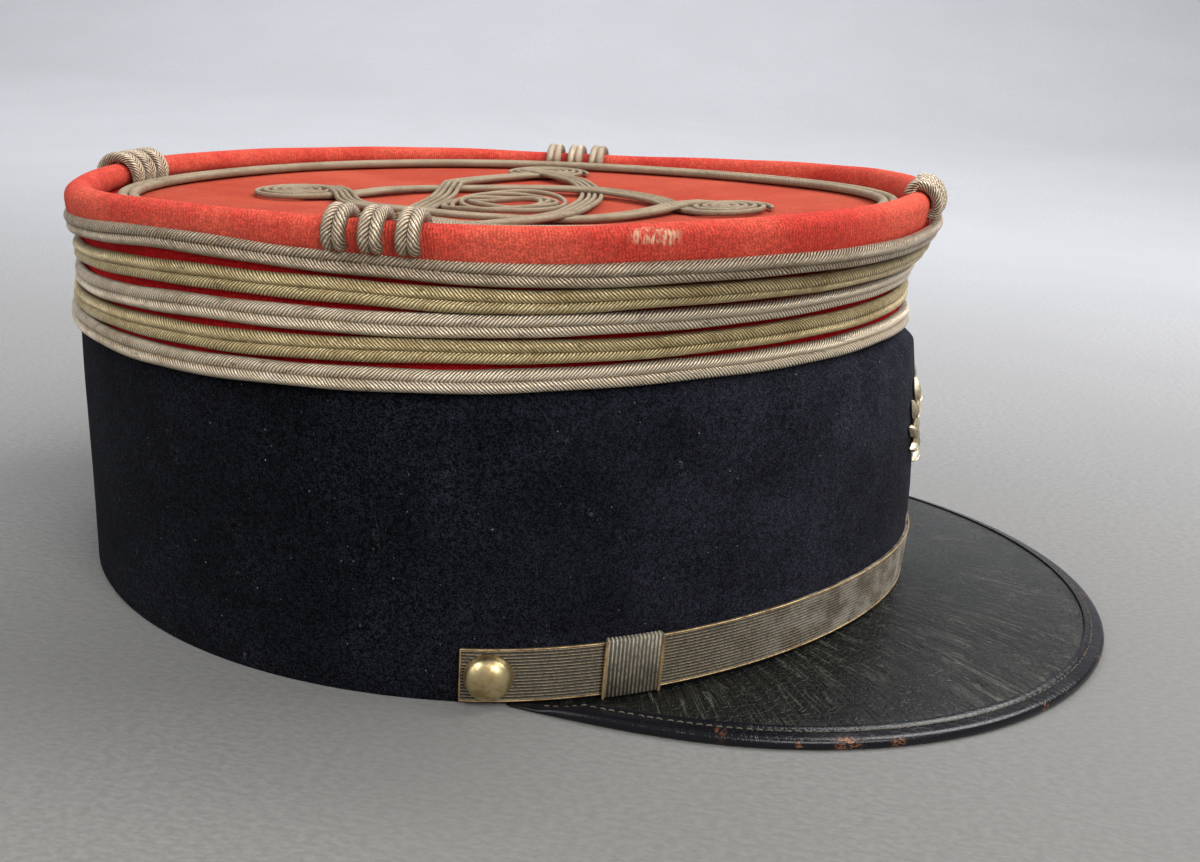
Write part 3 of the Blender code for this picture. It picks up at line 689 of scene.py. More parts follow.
class Effects:
    """Shader groups that several finishes share."""

    made: dict[str, bpy.types.NodeTree] = {}

    @classmethod
    def group(cls, name: str, inputs: dict[str, float],
              fill: Callable[[Graph, bpy.types.Node], Outputs]) -> bpy.types.NodeTree:
        """Return a named group, built on its first use.

        Args:
            name: The group's name.
            inputs: Number inputs with their starting values.
            fill: Adds the nodes after the input node and returns the number outputs.

        Returns:
            The group.
        """
        if name in cls.made:
            return cls.made[name]
        tree = bpy.data.node_groups.new(name, "ShaderNodeTree")
        for label, start in inputs.items():
            socket = tree.interface.new_socket(name=label, in_out="INPUT", socket_type="NodeSocketFloat")
            socket.default_value = start
        graph = Graph(tree)
        outputs = fill(graph, graph.node("NodeGroupInput"))
        for label in outputs:
            tree.interface.new_socket(name=label, in_out="OUTPUT", socket_type="NodeSocketFloat")
        graph.node("NodeGroupOutput", outputs)
        cls.made[name] = tree
        return tree

    @staticmethod
    def place(graph: Graph, tree: bpy.types.NodeTree, **values: object) -> bpy.types.Node:
        """Put a group into a material with its own values, given by input name.

        Args:
            graph: Adds nodes to the material's tree.
            tree: The group.
            values: Values by input name.

        Returns:
            The group's node.
        """
        made = graph.node("ShaderNodeGroup")
        made.node_tree = tree
        graph.feed_all(made, values)
        return made

    @classmethod
    def cord_threads(cls) -> bpy.types.NodeTree:
        """Slanted threads wound round a cord: their height, gaps and change of tone.

        Returns:
            The group.
        """

        def fill(graph: Graph, source: bpy.types.Node) -> Outputs:
            """Add the threads.

            Args:
                graph: Adds nodes to the material's tree.
                source: The group's input node.

            Returns:
                The group's number outputs by name.
            """
            length, round_cord = graph.split_map()
            waver = graph.times_plus(graph.noise(graph.place(), 240.0, 2.0), 1.6, -0.8)
            steps = graph.math("DIVIDE", length, source.outputs["Pitch"])
            steps = graph.times_plus(round_cord, source.outputs["Turns"], steps)
            steps = graph.plus(steps, waver)
            thread = graph.math("FRACT", steps)
            ridge = graph.math("SINE", graph.times(thread, math.pi))
            index = graph.math("FLOOR", steps)
            tone = graph.node("ShaderNodeTexWhiteNoise", {"W": index}, noise_dimensions="1D").outputs["Value"]
            turned = graph.math("COSINE", graph.times(round_cord, 2 * math.pi))
            side = graph.math("POWER", graph.math("ABSOLUTE", turned), 3.0)
            return {"Height": ridge, "Gap": graph.span(ridge, 0.80, 0.20), "Side": side, "Tone": tone}

        return cls.group("cord_threads", {"Pitch": 0.45, "Turns": 15.0}, fill)

    @classmethod
    def cloth_nap(cls) -> bpy.types.NodeTree:
        """Felted fibres: grain, lint caught in them and large patches of wear.

        Returns:
            The group.
        """

        def fill(graph: Graph, source: bpy.types.Node) -> Outputs:
            """Add the nap.

            Args:
                graph: Adds nodes to the material's tree.
                source: The group's input node.

            Returns:
                The group's number outputs by name.
            """
            place = graph.place()
            fine = graph.noise(place, 2700.0, 2.0, 0.75)
            coarse = graph.noise(place, 900.0, 3.0, 0.6)
            grain = graph.times_plus(fine, 0.72, graph.times(coarse, 0.28))
            specks = graph.node("ShaderNodeTexVoronoi", {"Vector": place, "Scale": 760.0, "Randomness": 1.0})
            few = graph.node("ShaderNodeSeparateColor", {0: specks.outputs["Color"]})
            chosen = graph.math("GREATER_THAN", few.outputs[0],
                                graph.math("SUBTRACT", 1.0, source.outputs["Lint"]))
            small = graph.span(specks.outputs["Distance"], 0.15, 0.05)
            hairs = graph.node("ShaderNodeTexNoise",
                               {"Vector": graph.scaled(place, 1.0, 1.0, 0.7), "Scale": 150.0,
                                "Detail": 2.0, "Distortion": 4.0})
            hair = graph.apart(hairs.outputs["Fac"], 0.5)
            hair = graph.times(graph.span(hair, 0.0040, 0.0),
                               graph.span(graph.noise(place, 90.0), 0.56, 0.66))
            strong = graph.times_plus(graph.math("POWER", few.outputs[1], 3.0), 0.75, 0.06)
            specks_shown = graph.times(graph.times(chosen, small), strong)
            lint = graph.math("MAXIMUM", specks_shown, graph.times(hair, 0.30))
            return {"Grain": grain, "Lint": lint, "Patches": graph.noise(place, 38.0, 5.0, 0.6)}

        return cls.group("cloth_nap", {"Lint": 0.03}, fill)

    @classmethod
    def twill_ribs(cls) -> bpy.types.NodeTree:
        """Fine ribs of a woven cloth across a mapped piece.

        Returns:
            The group.
        """

        def fill(graph: Graph, source: bpy.types.Node) -> Outputs:
            """Add the ribs.

            Args:
                graph: Adds nodes to the material's tree.
                source: The group's input node.

            Returns:
                The group's number outputs by name.
            """
            length, across = graph.split_map()
            waver = graph.times(graph.noise(graph.place(), 300.0, 2.0), 1.6)
            steps = graph.math("DIVIDE", length, source.outputs["Pitch"])
            steps = graph.plus(graph.times_plus(across, source.outputs["Slant"], steps), waver)
            ridge = graph.math("SINE", graph.times(graph.math("FRACT", steps), math.pi))
            return {"Height": ridge}

        return cls.group("twill_ribs", {"Pitch": 0.6, "Slant": 6.0}, fill)

    @classmethod
    def aged_metal(cls) -> bpy.types.NodeTree:
        """Tarnish patches, pits and fine scratches of old metal.

        Returns:
            The group.
        """

        def fill(graph: Graph, source: bpy.types.Node) -> Outputs:
            """Add the tarnish and scratches.

            Args:
                graph: Adds nodes to the material's tree.
                source: The group's input node.

            Returns:
                The group's number outputs by name.
            """
            place = graph.place()
            patches = graph.noise(place, source.outputs["Patch Scale"], 4.0, 0.65)
            streaks = graph.noise(graph.scaled(place, 1.0, 0.15, 0.4), 900.0, 3.0, 0.7)
            return {"Tarnish": graph.span(patches, 0.42, 0.66), "Scratches": streaks}

        return cls.group("aged_metal", {"Patch Scale": 260.0}, fill)

    @classmethod
    def old_leather(cls) -> bpy.types.NodeTree:
        """Patent leather's crackle, radial creases, rubs and chipped spots.

        Returns:
            The group.
        """

        def fill(graph: Graph, source: bpy.types.Node) -> Outputs:
            """Add the creases, the pale scuffs that also paint highlights on the wrinkles' edges, and the
            chips.

            Args:
                graph: Adds nodes to the material's tree.
                source: The group's input node.

            Returns:
                The group's number outputs by name.
            """
            place = graph.place()
            parts = graph.node("ShaderNodeSeparateXYZ", {0: place})
            ahead = graph.math("SUBTRACT", parts.outputs[0], 0.030)
            swing = graph.math("ARCTAN2", parts.outputs[1], ahead)
            reach = graph.math("SQRT", graph.plus(graph.times(ahead, ahead),
                                                  graph.times(parts.outputs[1], parts.outputs[1])))
            fan = graph.flat_place(graph.times(swing, 26.0), graph.times(reach, 26.0))
            folds = graph.node("ShaderNodeTexNoise",
                               {"Vector": fan, "Scale": 1.0, "Detail": 4.0, "Roughness": 0.6,
                                "Distortion": 0.35}).outputs["Fac"]
            fold = graph.apart(folds, 0.5)
            crease = graph.span(fold, 0.055, 0.0)
            crease = graph.times(crease, graph.span(graph.noise(place, 42.0), 0.30, 0.50))
            fine_fan = graph.flat_place(graph.times(swing, 66.0), graph.times(reach, 60.0))
            hatch = graph.noise(fine_fan, 1.0, 3.0, 0.6)
            hatch = graph.span(graph.apart(hatch, 0.5), 0.07, 0.0)
            cells = graph.node("ShaderNodeTexVoronoi", {"Vector": place, "Scale": 640.0},
                               feature="DISTANCE_TO_EDGE")
            crackle = graph.span(cells.outputs["Distance"], 0.09, 0.0)
            # Pale lines along the wrinkles: scuffs and painted highlights on their edges.
            scuff_fan = graph.flat_place(graph.times(swing, 38.0), graph.times(reach, 34.0))
            scuffs_and_highlights = graph.node("ShaderNodeTexNoise",
                                {"Vector": scuff_fan, "Scale": 1.0, "Detail": 3.0,
                                 "Distortion": 0.6}).outputs["Fac"]
            scuffs_and_highlights = graph.span(graph.apart(scuffs_and_highlights, 0.5), 0.026, 0.0)
            scuffs_and_highlights = graph.times(scuffs_and_highlights, graph.span(graph.noise(place, 70.0), 0.42, 0.60))
            hatch = graph.times(hatch, graph.span(graph.noise(place, 60.0), 0.48, 0.62))
            rubs = graph.span(graph.noise(place, 85.0, 5.0, 0.65), 0.5, 0.7)
            chips = graph.noise(place, source.outputs["Chip Scale"], 4.0, 0.6)
            return {"Crease": crease, "Scuffs": scuffs_and_highlights, "Hatch": hatch, "Crackle": crackle, "Rubs": rubs,
                    "Chips": graph.span(chips, 0.665, 0.69)}

        return cls.group("old_leather", {"Chip Scale": 120.0}, fill)

    @classmethod
    def settled_dust(cls) -> bpy.types.NodeTree:
        """Dust that lies on faces that look up, in soft clouds.

        Returns:
            The group.
        """

        def fill(graph: Graph, source: bpy.types.Node) -> Outputs:
            """Add the dust.

            Args:
                graph: Adds nodes to the material's tree.
                source: The group's input node.

            Returns:
                The group's number outputs by name.
            """
            up = graph.node("ShaderNodeSeparateXYZ",
                            {0: graph.node("ShaderNodeNewGeometry").outputs["Normal"]})
            clouds = graph.noise(graph.place(), 46.0, 5.0, 0.62)
            level_share = graph.span(up.outputs[2], source.outputs["Level"], 1.0)
            return {"Dust": graph.times(level_share, graph.span(clouds, 0.25, 0.8))}

        return cls.group("settled_dust", {"Level": 0.2}, fill)


Colour = tuple[float, float, float]


@dataclass(frozen=True)
class Finish:
    """A named finish, whose material is made once."""

    name: str

    def material(self) -> bpy.types.Material:
        """Return the finish's material.

        Returns:
            The material, made on the first call.
        """
        found = bpy.data.materials.get(self.name)
        if found is not None:
            return found
        material = bpy.data.materials.new(self.name)
        material.use_nodes = True
        graph = Graph(material.node_tree)
        graph.feed_all(material.node_tree.nodes["Principled BSDF"], self.paint(graph))
        return material

    def paint(self, graph: Graph) -> dict[str, object]:
        """Add the finish's nodes and return what goes into its shader's inputs."""
        raise NotImplementedError


@dataclass(frozen=True)
class CordFinish(Finish):
    """Metal-thread cord, aged to its own tone, with painted glints, painted shade in its grooves and on its
    flanks, and optional painted light towards the front.
    """

    bright: Colour
    dull: Colour
    gap: Colour
    painted_glint: Colour
    metallic: float = 0.45
    roughness: float = 0.34
    pitch: float = 0.74
    turns: float = 9.0
    tarnish: float = 0.6
    soiling_and_shade: float = 0.45
    relief: float = 1.0
    front_clean_and_lit: float = 0.0

    def paint(self, graph: Graph) -> dict[str, object]:
        """Return a shader's inputs with threads, tarnish, worn tone, painted glints and valleys darkened by
        dirt and painted shade.

        Args:
            graph: Adds nodes to the material's tree.

        Returns:
            Values and sockets by the shader input's name.
        """
        threads = Effects.place(graph, Effects.cord_threads(), Pitch=self.pitch, Turns=self.turns)
        metal = Effects.place(graph, Effects.aged_metal(), **{"Patch Scale": 70.0})
        tone = threads.outputs["Tone"]
        share = graph.times_plus(tone, 0.30, 0.05)
        share = graph.times_plus(metal.outputs["Tarnish"], self.tarnish, share, clamp=True)
        # Less tarnish towards the front, partly real and partly painted light standing in for the brighter
        # light on the front side.
        if self.front_clean_and_lit:
            ahead = graph.place_part(0)
            kept = graph.span(ahead, -60.0 * MM, 70.0 * MM, 1.0, 1.0 - self.front_clean_and_lit)
            share = graph.times(share, kept)
        colour = graph.mix(share, self.bright, self.dull)
        # Painted highlight: small bright glint spots mixed into the colour.
        painted_sparkle = graph.span(graph.noise(graph.place(), 1500.0, 2.0, 0.7), 0.50, 0.70)
        colour = graph.mix(graph.times(painted_sparkle, 0.60), colour, self.painted_glint)
        stained = graph.noise(graph.scaled(graph.place(), 1.0, 1.0, 2.5), 300.0, 3.0, 0.6)
        stained = graph.span(stained, 0.60, 0.74)
        colour = graph.mix(graph.times(stained, 0.55), colour, self.gap)
        # Painted shade: the grooves between threads are darkened, more so on the cord's flanks.
        depth = graph.times_plus(threads.outputs["Side"], 0.25, 0.74)
        colour = graph.mix(graph.times(threads.outputs["Gap"], depth), colour, self.gap)
        # The flanks where a cord meets its neighbour and the wall are darkened: partly dirt, partly painted
        # shade.
        colour = graph.mix(graph.times(threads.outputs["Side"], self.soiling_and_shade), colour, self.gap)
        height = graph.times_plus(tone, 0.35, threads.outputs["Height"])
        return {"Base Color": colour, "Metallic": self.metallic,
                "Roughness": graph.span(share, 0.0, 1.0, self.roughness, self.roughness + 0.2),
                "Normal": graph.bump(height, self.relief, 0.22 * MM)}


@dataclass(frozen=True)
class WoolFinish(Finish):
    """Felted wool cloth, with lint, faded patches, ribs and dust."""

    deep: Colour
    faded: Colour
    dust: Colour
    lint: float = 0.03
    lint_colour: Colour = (0.35, 0.36, 0.40)
    ribs: float = 0.0
    dusting: float = 0.0
    sheen: float = 0.08
    specular: float = 0.15
    relief: float = 0.6
    front_haze_and_light: float = 0.0
    grain: tuple[float, float] = (0.45, 1.55)
    bare_thread: bool = False

    def paint(self, graph: Graph) -> dict[str, object]:
        """Return a shader's inputs with nap, ribs, lint, dust and a front haze that is partly painted light.

        Args:
            graph: Adds nodes to the material's tree.

        Returns:
            Values and sockets by the shader input's name.
        """
        nap = Effects.place(graph, Effects.cloth_nap(), Lint=self.lint)
        patches = graph.span(nap.outputs["Patches"], 0.38, 0.66)
        colour = graph.mix(patches, self.deep, self.faded)
        grain = graph.span(nap.outputs["Grain"], 0.43, 0.62)
        low, high = self.grain
        colour = graph.mix(1.0, colour, graph.mix(grain, (low, low, low), (high, high, high)), "MULTIPLY")
        # Dusty bluish haze growing towards the front, partly dust and partly painted light where the band's
        # front catches more light.
        if self.front_haze_and_light:
            ahead = graph.place_part(0)
            forward = graph.span(ahead, -20.0 * MM, 100.0 * MM)
            cloud = graph.span(graph.noise(graph.place(), 60.0, 5.0, 0.65), 0.35, 0.7)
            haze_and_light = graph.times(forward, graph.times_plus(cloud, 0.5, 0.3))
            haze_and_light = graph.times(haze_and_light, graph.times_plus(grain, 0.7, 0.3))
            colour = graph.mix(graph.times(haze_and_light, self.front_haze_and_light), colour, (0.044, 0.046, 0.064))
        height = nap.outputs["Grain"]
        if self.ribs:
            ribs = Effects.place(graph, Effects.twill_ribs(), Pitch=0.62, Slant=5.0)
            worn = graph.times(ribs.outputs["Height"], self.ribs)
            height = graph.times_plus(worn, 1.4, height)
            colour = graph.mix(graph.times(worn, 0.35), colour, self.faded)
        if self.dusting:
            dust = Effects.place(graph, Effects.settled_dust(), Level=0.35)
            colour = graph.mix(graph.times(dust.outputs["Dust"], self.dusting), colour, self.dust)
        if self.bare_thread:
            colour = self.add_bare_thread(graph, colour)
        colour = graph.mix(nap.outputs["Lint"], colour, self.lint_colour)
        return {"Base Color": colour, "Roughness": 0.95, "Specular IOR Level": self.specular,
                "Sheen Weight": self.sheen, "Sheen Roughness": 0.5,
                "Normal": graph.bump(height, self.relief, 0.25 * MM)}

    @staticmethod
    def add_bare_thread(graph: Graph, colour: bpy.types.NodeSocket) -> bpy.types.NodeSocket:
        """Show the pale ground threads where the near side of the rim is rubbed through.

        Args:
            graph: Adds nodes to the material's tree.
            colour: The cloth's colour so far.

        Returns:
            The colour with the rubbed spot.
        """
        parts = graph.node("ShaderNodeSeparateXYZ", {0: graph.place()})
        ahead = graph.apart(parts.outputs[0], 44.5 * MM)
        near = graph.math("LESS_THAN", parts.outputs[1], -0.06)
        spot = graph.times(graph.span(ahead, 5.0 * MM, 2.5 * MM), near)
        high = graph.apart(parts.outputs[2], 94.2 * MM)
        spot = graph.times(spot, graph.span(high, 1.7 * MM, 0.9 * MM))
        tufts = graph.noise(graph.scaled(graph.place(), 1.4, 1.0, 0.45), 900.0, 4.0, 0.7)
        spot = graph.times(spot, graph.span(tufts, 0.44, 0.60, 0.0, 0.85))
        return graph.mix(spot, colour, (0.66, 0.46, 0.30))


@dataclass(frozen=True)
class PatentFinish(Finish):
    """Worn black patent leather."""

    base: Colour = (0.0055, 0.0065, 0.0055)
    rubbed: Colour = (0.060, 0.063, 0.052)
    chip: Colour = (0.30, 0.095, 0.035)
    roughness: float = 0.33
    chips: float = 0.0
    creases: float = 1.0
    worn_spots: tuple[tuple[float, float, float], ...] = (
        (33.0, -88.0, 1.2), (64.4, -84.6, 2.0), (79.6, -84.1, 1.3), (88.9, -82.1, 3.6), (98.4, -77.8, 2.2),
        (128.6, -53.5, 1.3))
    relief: float = 0.8

    def paint(self, graph: Graph) -> dict[str, object]:
        """Return a shader's inputs with creases in painted shade, pale scuffs with painted highlights,
        crackle, rubs and chips.

        Args:
            graph: Adds nodes to the material's tree.

        Returns:
            Values and sockets by the shader input's name.
        """
        skin = Effects.place(graph, Effects.old_leather())
        dust = Effects.place(graph, Effects.settled_dust(), Level=0.6)
        rub = graph.times_plus(skin.outputs["Hatch"], 0.08, graph.times(skin.outputs["Rubs"], 0.22))
        ahead = graph.place_part(0)
        far = graph.times(graph.span(ahead, 80.0 * MM, 130.0 * MM), 0.30)
        rub = graph.plus(rub, graph.times(dust.outputs["Dust"], far), clamp=True)
        colour = graph.mix(rub, self.base, self.rubbed)
        # Painted shade: creases are darkened in the colour as well as sunk in the bump.
        lines = graph.times(skin.outputs["Crease"], self.creases)
        colour = graph.mix(graph.times(lines, 0.8), colour, (0.003, 0.003, 0.003))
        # Pale lines: scuffs, and painted highlights along the wrinkles' edges.
        pale = graph.times(skin.outputs["Scuffs"], self.creases)
        colour = graph.mix(graph.times(pale, 0.42), colour, (0.13, 0.13, 0.10))
        if self.chips:
            worn = graph.times(skin.outputs["Chips"], self.chips)
            flakes = graph.noise(graph.scaled(graph.place(), 1.0, 1.0, 2.5), 1000.0, 4.0, 0.7)
            flakes = graph.span(flakes, 0.50, 0.56)
            for x, y, reach in self.worn_spots:
                spot = graph.node("ShaderNodeVectorMath", {0: graph.place(), 1: (x * MM, y * MM, 1.2 * MM)},
                                  operation="DISTANCE").outputs["Value"]
                spot = graph.times(graph.span(spot, reach * MM, 0.4 * reach * MM), flakes)
                worn = graph.math("MAXIMUM", worn, spot)
            colour = graph.mix(worn, colour, self.chip)
        rough = graph.times_plus(rub, 0.30, self.roughness)
        crazed = graph.times(skin.outputs["Crackle"], 0.22 * self.relief)
        height = graph.times_plus(lines, -1.0, graph.times(skin.outputs["Crackle"], -0.30))
        height = graph.times_plus(skin.outputs["Hatch"], -0.70, height)
        height = graph.times_plus(pale, 0.6, height)
        return {"Base Color": colour, "Roughness": graph.plus(crazed, rough), "Specular IOR Level": 0.30,
                "Normal": graph.bump(height, self.relief, 0.34 * MM)}


@dataclass(frozen=True)
class RibbonFinish(Finish):
    """Black ribbon with metal-thread ribs, worn bronze towards the front."""

    rib: Colour = (0.46, 0.36, 0.22)
    ground: Colour = (0.014, 0.013, 0.011)
    worn: Colour = (0.36, 0.33, 0.28)
    ribs: float = 16.0
    thin: float = 0.86
    metallic: float = 0.3

    def paint(self, graph: Graph) -> dict[str, object]:
        """Return a shader's inputs with ribs, thread breaks and wear.

        Args:
            graph: Adds nodes to the material's tree.

        Returns:
            Values and sockets by the shader input's name.
        """
        _, across = graph.split_map()
        place = graph.place()
        rib = graph.math("SINE", graph.times(graph.math("FRACT", graph.times(across, self.ribs)), math.pi))
        crest = graph.span(rib, self.thin, 1.0)
        metal = Effects.place(graph, Effects.aged_metal(), **{"Patch Scale": 150.0})
        beads = graph.noise(graph.scaled(place, 1.0, 1.0, 0.5), 1700.0, 2.0, 0.6)
        crest = graph.times(crest, graph.span(beads, 0.30, 0.62, 0.35, 1.0))
        ahead = graph.place_part(0)
        front = graph.span(ahead, 55.0 * MM, 92.0 * MM)
        blotch = graph.span(graph.noise(place, 150.0, 5.0, 0.65), 0.38, 0.60)
        front = graph.times(front, blotch)
        ground = graph.mix(graph.times(front, 0.50), self.ground, self.worn)
        thread = graph.mix(graph.times(front, 0.75), self.rib, self.worn)
        colour = graph.mix(crest, ground, thread)
        dark = graph.span(graph.noise(place, 110.0, 4.0, 0.6), 0.50, 0.70)
        colour = graph.mix(graph.times(dark, 0.62), colour, (0.028, 0.026, 0.022))
        colour = graph.mix(graph.times(metal.outputs["Scratches"], 0.12), colour, self.rib)
        return {"Base Color": colour, "Metallic": self.metallic, "Roughness": 0.58,
                "Normal": graph.bump(graph.plus(rib, beads), 0.5, 0.12 * MM)}


@dataclass(frozen=True)
class MetalFinish(Finish):
    """Old brass or gilt thread."""

    bright: Colour
    tarnished: Colour
    roughness: float = 0.26
    grain: float = 0.15
    metallic: float = 1.0

    def paint(self, graph: Graph) -> dict[str, object]:
        """Return a shader's inputs with tarnish and fine scratches.

        Args:
            graph: Adds nodes to the material's tree.

        Returns:
            Values and sockets by the shader input's name.
        """
        metal = Effects.place(graph, Effects.aged_metal(), **{"Patch Scale": 320.0})
        tarnish, scratches = metal.outputs["Tarnish"], metal.outputs["Scratches"]
        rough = graph.times_plus(tarnish, 0.22, self.roughness)
        return {"Base Color": graph.mix(tarnish, self.bright, self.tarnished), "Metallic": self.metallic,
                "Roughness": graph.times_plus(scratches, 0.12, rough),
                "Normal": graph.bump(scratches, self.grain, 0.12 * MM)}


@dataclass(frozen=True)
class FloorFinish(Finish):
    """Plain pale grey paper under the cap, with painted shade near the camera and painted light far behind.
    """

    tone: Colour = (0.37, 0.372, 0.382)
    near_painted_shade: Colour = (0.46, 0.445, 0.40)

    def paint(self, graph: Graph) -> dict[str, object]:
        """Return a shader's inputs with a faint paper grain and a painted gradient of shade and light.

        Args:
            graph: Adds nodes to the material's tree.

        Returns:
            Values and sockets by the shader input's name.
        """
        place = graph.place()
        fine = graph.noise(graph.scaled(place, 0.55, 1.0, 1.0), 900.0, 3.0, 0.65)
        broad = graph.noise(place, 9.0, 3.0, 0.5)
        low, soft, high = (tuple(part * share for part in self.tone) for share in (0.84, 0.90, 1.08))
        colour = graph.mix(graph.span(fine, 0.30, 0.70), low, high)
        colour = graph.mix(graph.span(broad, 0.3, 0.7, 0.0, 0.5), colour, soft)
        # Painted shade and light: darker and warmer near the camera, lighter and bluer far behind.
        away = graph.place_part(1)
        near = graph.span(away, -0.4, 0.9)
        colour = graph.mix(1.0, colour, graph.mix(near, self.near_painted_shade, (1.12, 1.12, 1.14)), "MULTIPLY")
        return {"Base Color": colour, "Roughness": 0.9, "Specular IOR Level": 0.2,
                "Normal": graph.bump(fine, 0.35, 0.4 * MM)}


SILVER = CordFinish("silver_cord", (0.94, 0.77, 0.56), (0.48, 0.35, 0.21), (0.024, 0.015, 0.008),
                    (1.0, 0.95, 0.84), front_clean_and_lit=0.85)
TARNISHED = CordFinish("tarnished_silver_cord", (0.70, 0.55, 0.39), (0.36, 0.26, 0.16), (0.030, 0.018, 0.010),
                       (0.98, 0.88, 0.72), front_clean_and_lit=0.3)
GOLD = CordFinish("gold_cord", (0.80, 0.62, 0.32), (0.44, 0.31, 0.13), (0.030, 0.019, 0.008),
                  (1.0, 0.92, 0.58))
DULL = CordFinish("dull_cord", (0.40, 0.31, 0.20), (0.24, 0.175, 0.10), (0.09, 0.052, 0.028),
                  (0.58, 0.47, 0.33), metallic=0.1, roughness=0.62, pitch=0.62, turns=6.0,
                  soiling_and_shade=0.30, relief=0.7)
NAVY = WoolFinish("navy_wool_cloth", (0.0014, 0.0016, 0.0026), (0.0028, 0.0031, 0.0048), (0.05, 0.05, 0.055),
                  lint=0.22, front_haze_and_light=0.9, sheen=0.01, specular=0.07, relief=1.0, grain=(0.0, 6.0))
ROLL_RED = WoolFinish("red_rim_cloth", (0.52, 0.042, 0.029), (0.66, 0.100, 0.060), (0.45, 0.16, 0.11),
                      lint=0.004, lint_colour=(0.8, 0.4, 0.3), ribs=0.45, sheen=0.0, grain=(0.62, 1.30),
                      bare_thread=True)
WALL_RED = WoolFinish("red_wall_cloth", (0.52, 0.008, 0.010), (0.62, 0.015, 0.016), (0.4, 0.12, 0.09),
                      lint=0.002, lint_colour=(0.7, 0.3, 0.25), sheen=0.0, grain=(0.6, 1.3))
TOP_RED = WoolFinish("red_top_cloth", (0.36, 0.040, 0.018), (0.43, 0.062, 0.030), (0.42, 0.10, 0.06),
                     lint=0.006, lint_colour=(0.7, 0.45, 0.35), dusting=0.30, sheen=0.0,
                     grain=(0.75, 1.2))
PATENT = PatentFinish("worn_patent")
PATENT_EDGE = PatentFinish("worn_patent_edge", (0.005, 0.005, 0.007), (0.026, 0.027, 0.030),
                           (0.27, 0.10, 0.042), roughness=0.20, chips=0.25, creases=0.0, relief=0.2)
RIBBON = RibbonFinish("ribbed_ribbon_strap")
RIBBON_SLIDE = RibbonFinish("ribbed_ribbon_slide", (0.42, 0.37, 0.27), (0.060, 0.054, 0.042), ribs=14.0,
                            thin=0.70)
GILT_THREAD = MetalFinish("gilt_thread", (0.55, 0.38, 0.19), (0.26, 0.16, 0.075), roughness=0.42,
                          metallic=0.7)
THREAD = MetalFinish("waxed_thread", (0.10, 0.085, 0.055), (0.05, 0.042, 0.03), roughness=0.55,
                     metallic=0.0)
BRASS = MetalFinish("aged_brass_metal", (0.70, 0.56, 0.30), (0.38, 0.27, 0.13))
BADGE_GILT = MetalFinish("gilt_wire", (0.74, 0.66, 0.50), (0.46, 0.38, 0.26), roughness=0.38, grain=0.6)
PAPER = FloorFinish("pale_paper")


@dataclass
class Headband:
    """The dark wool wall that holds the head."""

    shape: CapShape
    wall: float = 2.5 * MM
    edge_round: float = 0.7 * MM
    stations: int = 288

    def section(self, angle: float) -> list[Vector]:
        """Return the wall's outline at an angle, from the outer hem up and back down inside.

        Args:
            angle: Angle in degrees, 0 at the front.

        Returns:
            The outline's points in order.
        """
        shape = self.shape
        out = shape.out("hem", angle)
        low = shape.hem(shape.plan("hem", angle).x)
        high = shape.point("row_5", angle).z - shape.gap / 2
        shoulder = shape.point("shoulder", angle).z
        heights = [low + self.edge_round + (shoulder - low - self.edge_round) * i / 10 for i in range(11)]
        tuck = [shoulder + (high - shoulder) * share for share in (0.2, 0.45, 0.75, 1.0)]
        outer = [shape.band(angle, low, -0.5 * self.edge_round)]
        outer += [shape.band(angle, height) for height in heights]
        outer += [shape.band(angle, height) for height in tuck]
        top_inner = outer[-1] - out * self.wall
        inner = [top_inner]
        for height in (shoulder, 0.5 * shoulder, low + self.edge_round):
            inner.append(shape.band(angle, height, -self.wall))
        inner.append(shape.band(angle, low, -self.wall + 0.5 * self.edge_round))
        return outer + inner

    def make(self) -> None:
        """Build and seat the headband."""
        skin = Skin()
        skin.loft([self.section(angle) for angle in angles_round(self.stations)], closed=True)
        seat_piece(skin.build("headband_cloth", NAVY.material()), "navy_wool", "band")


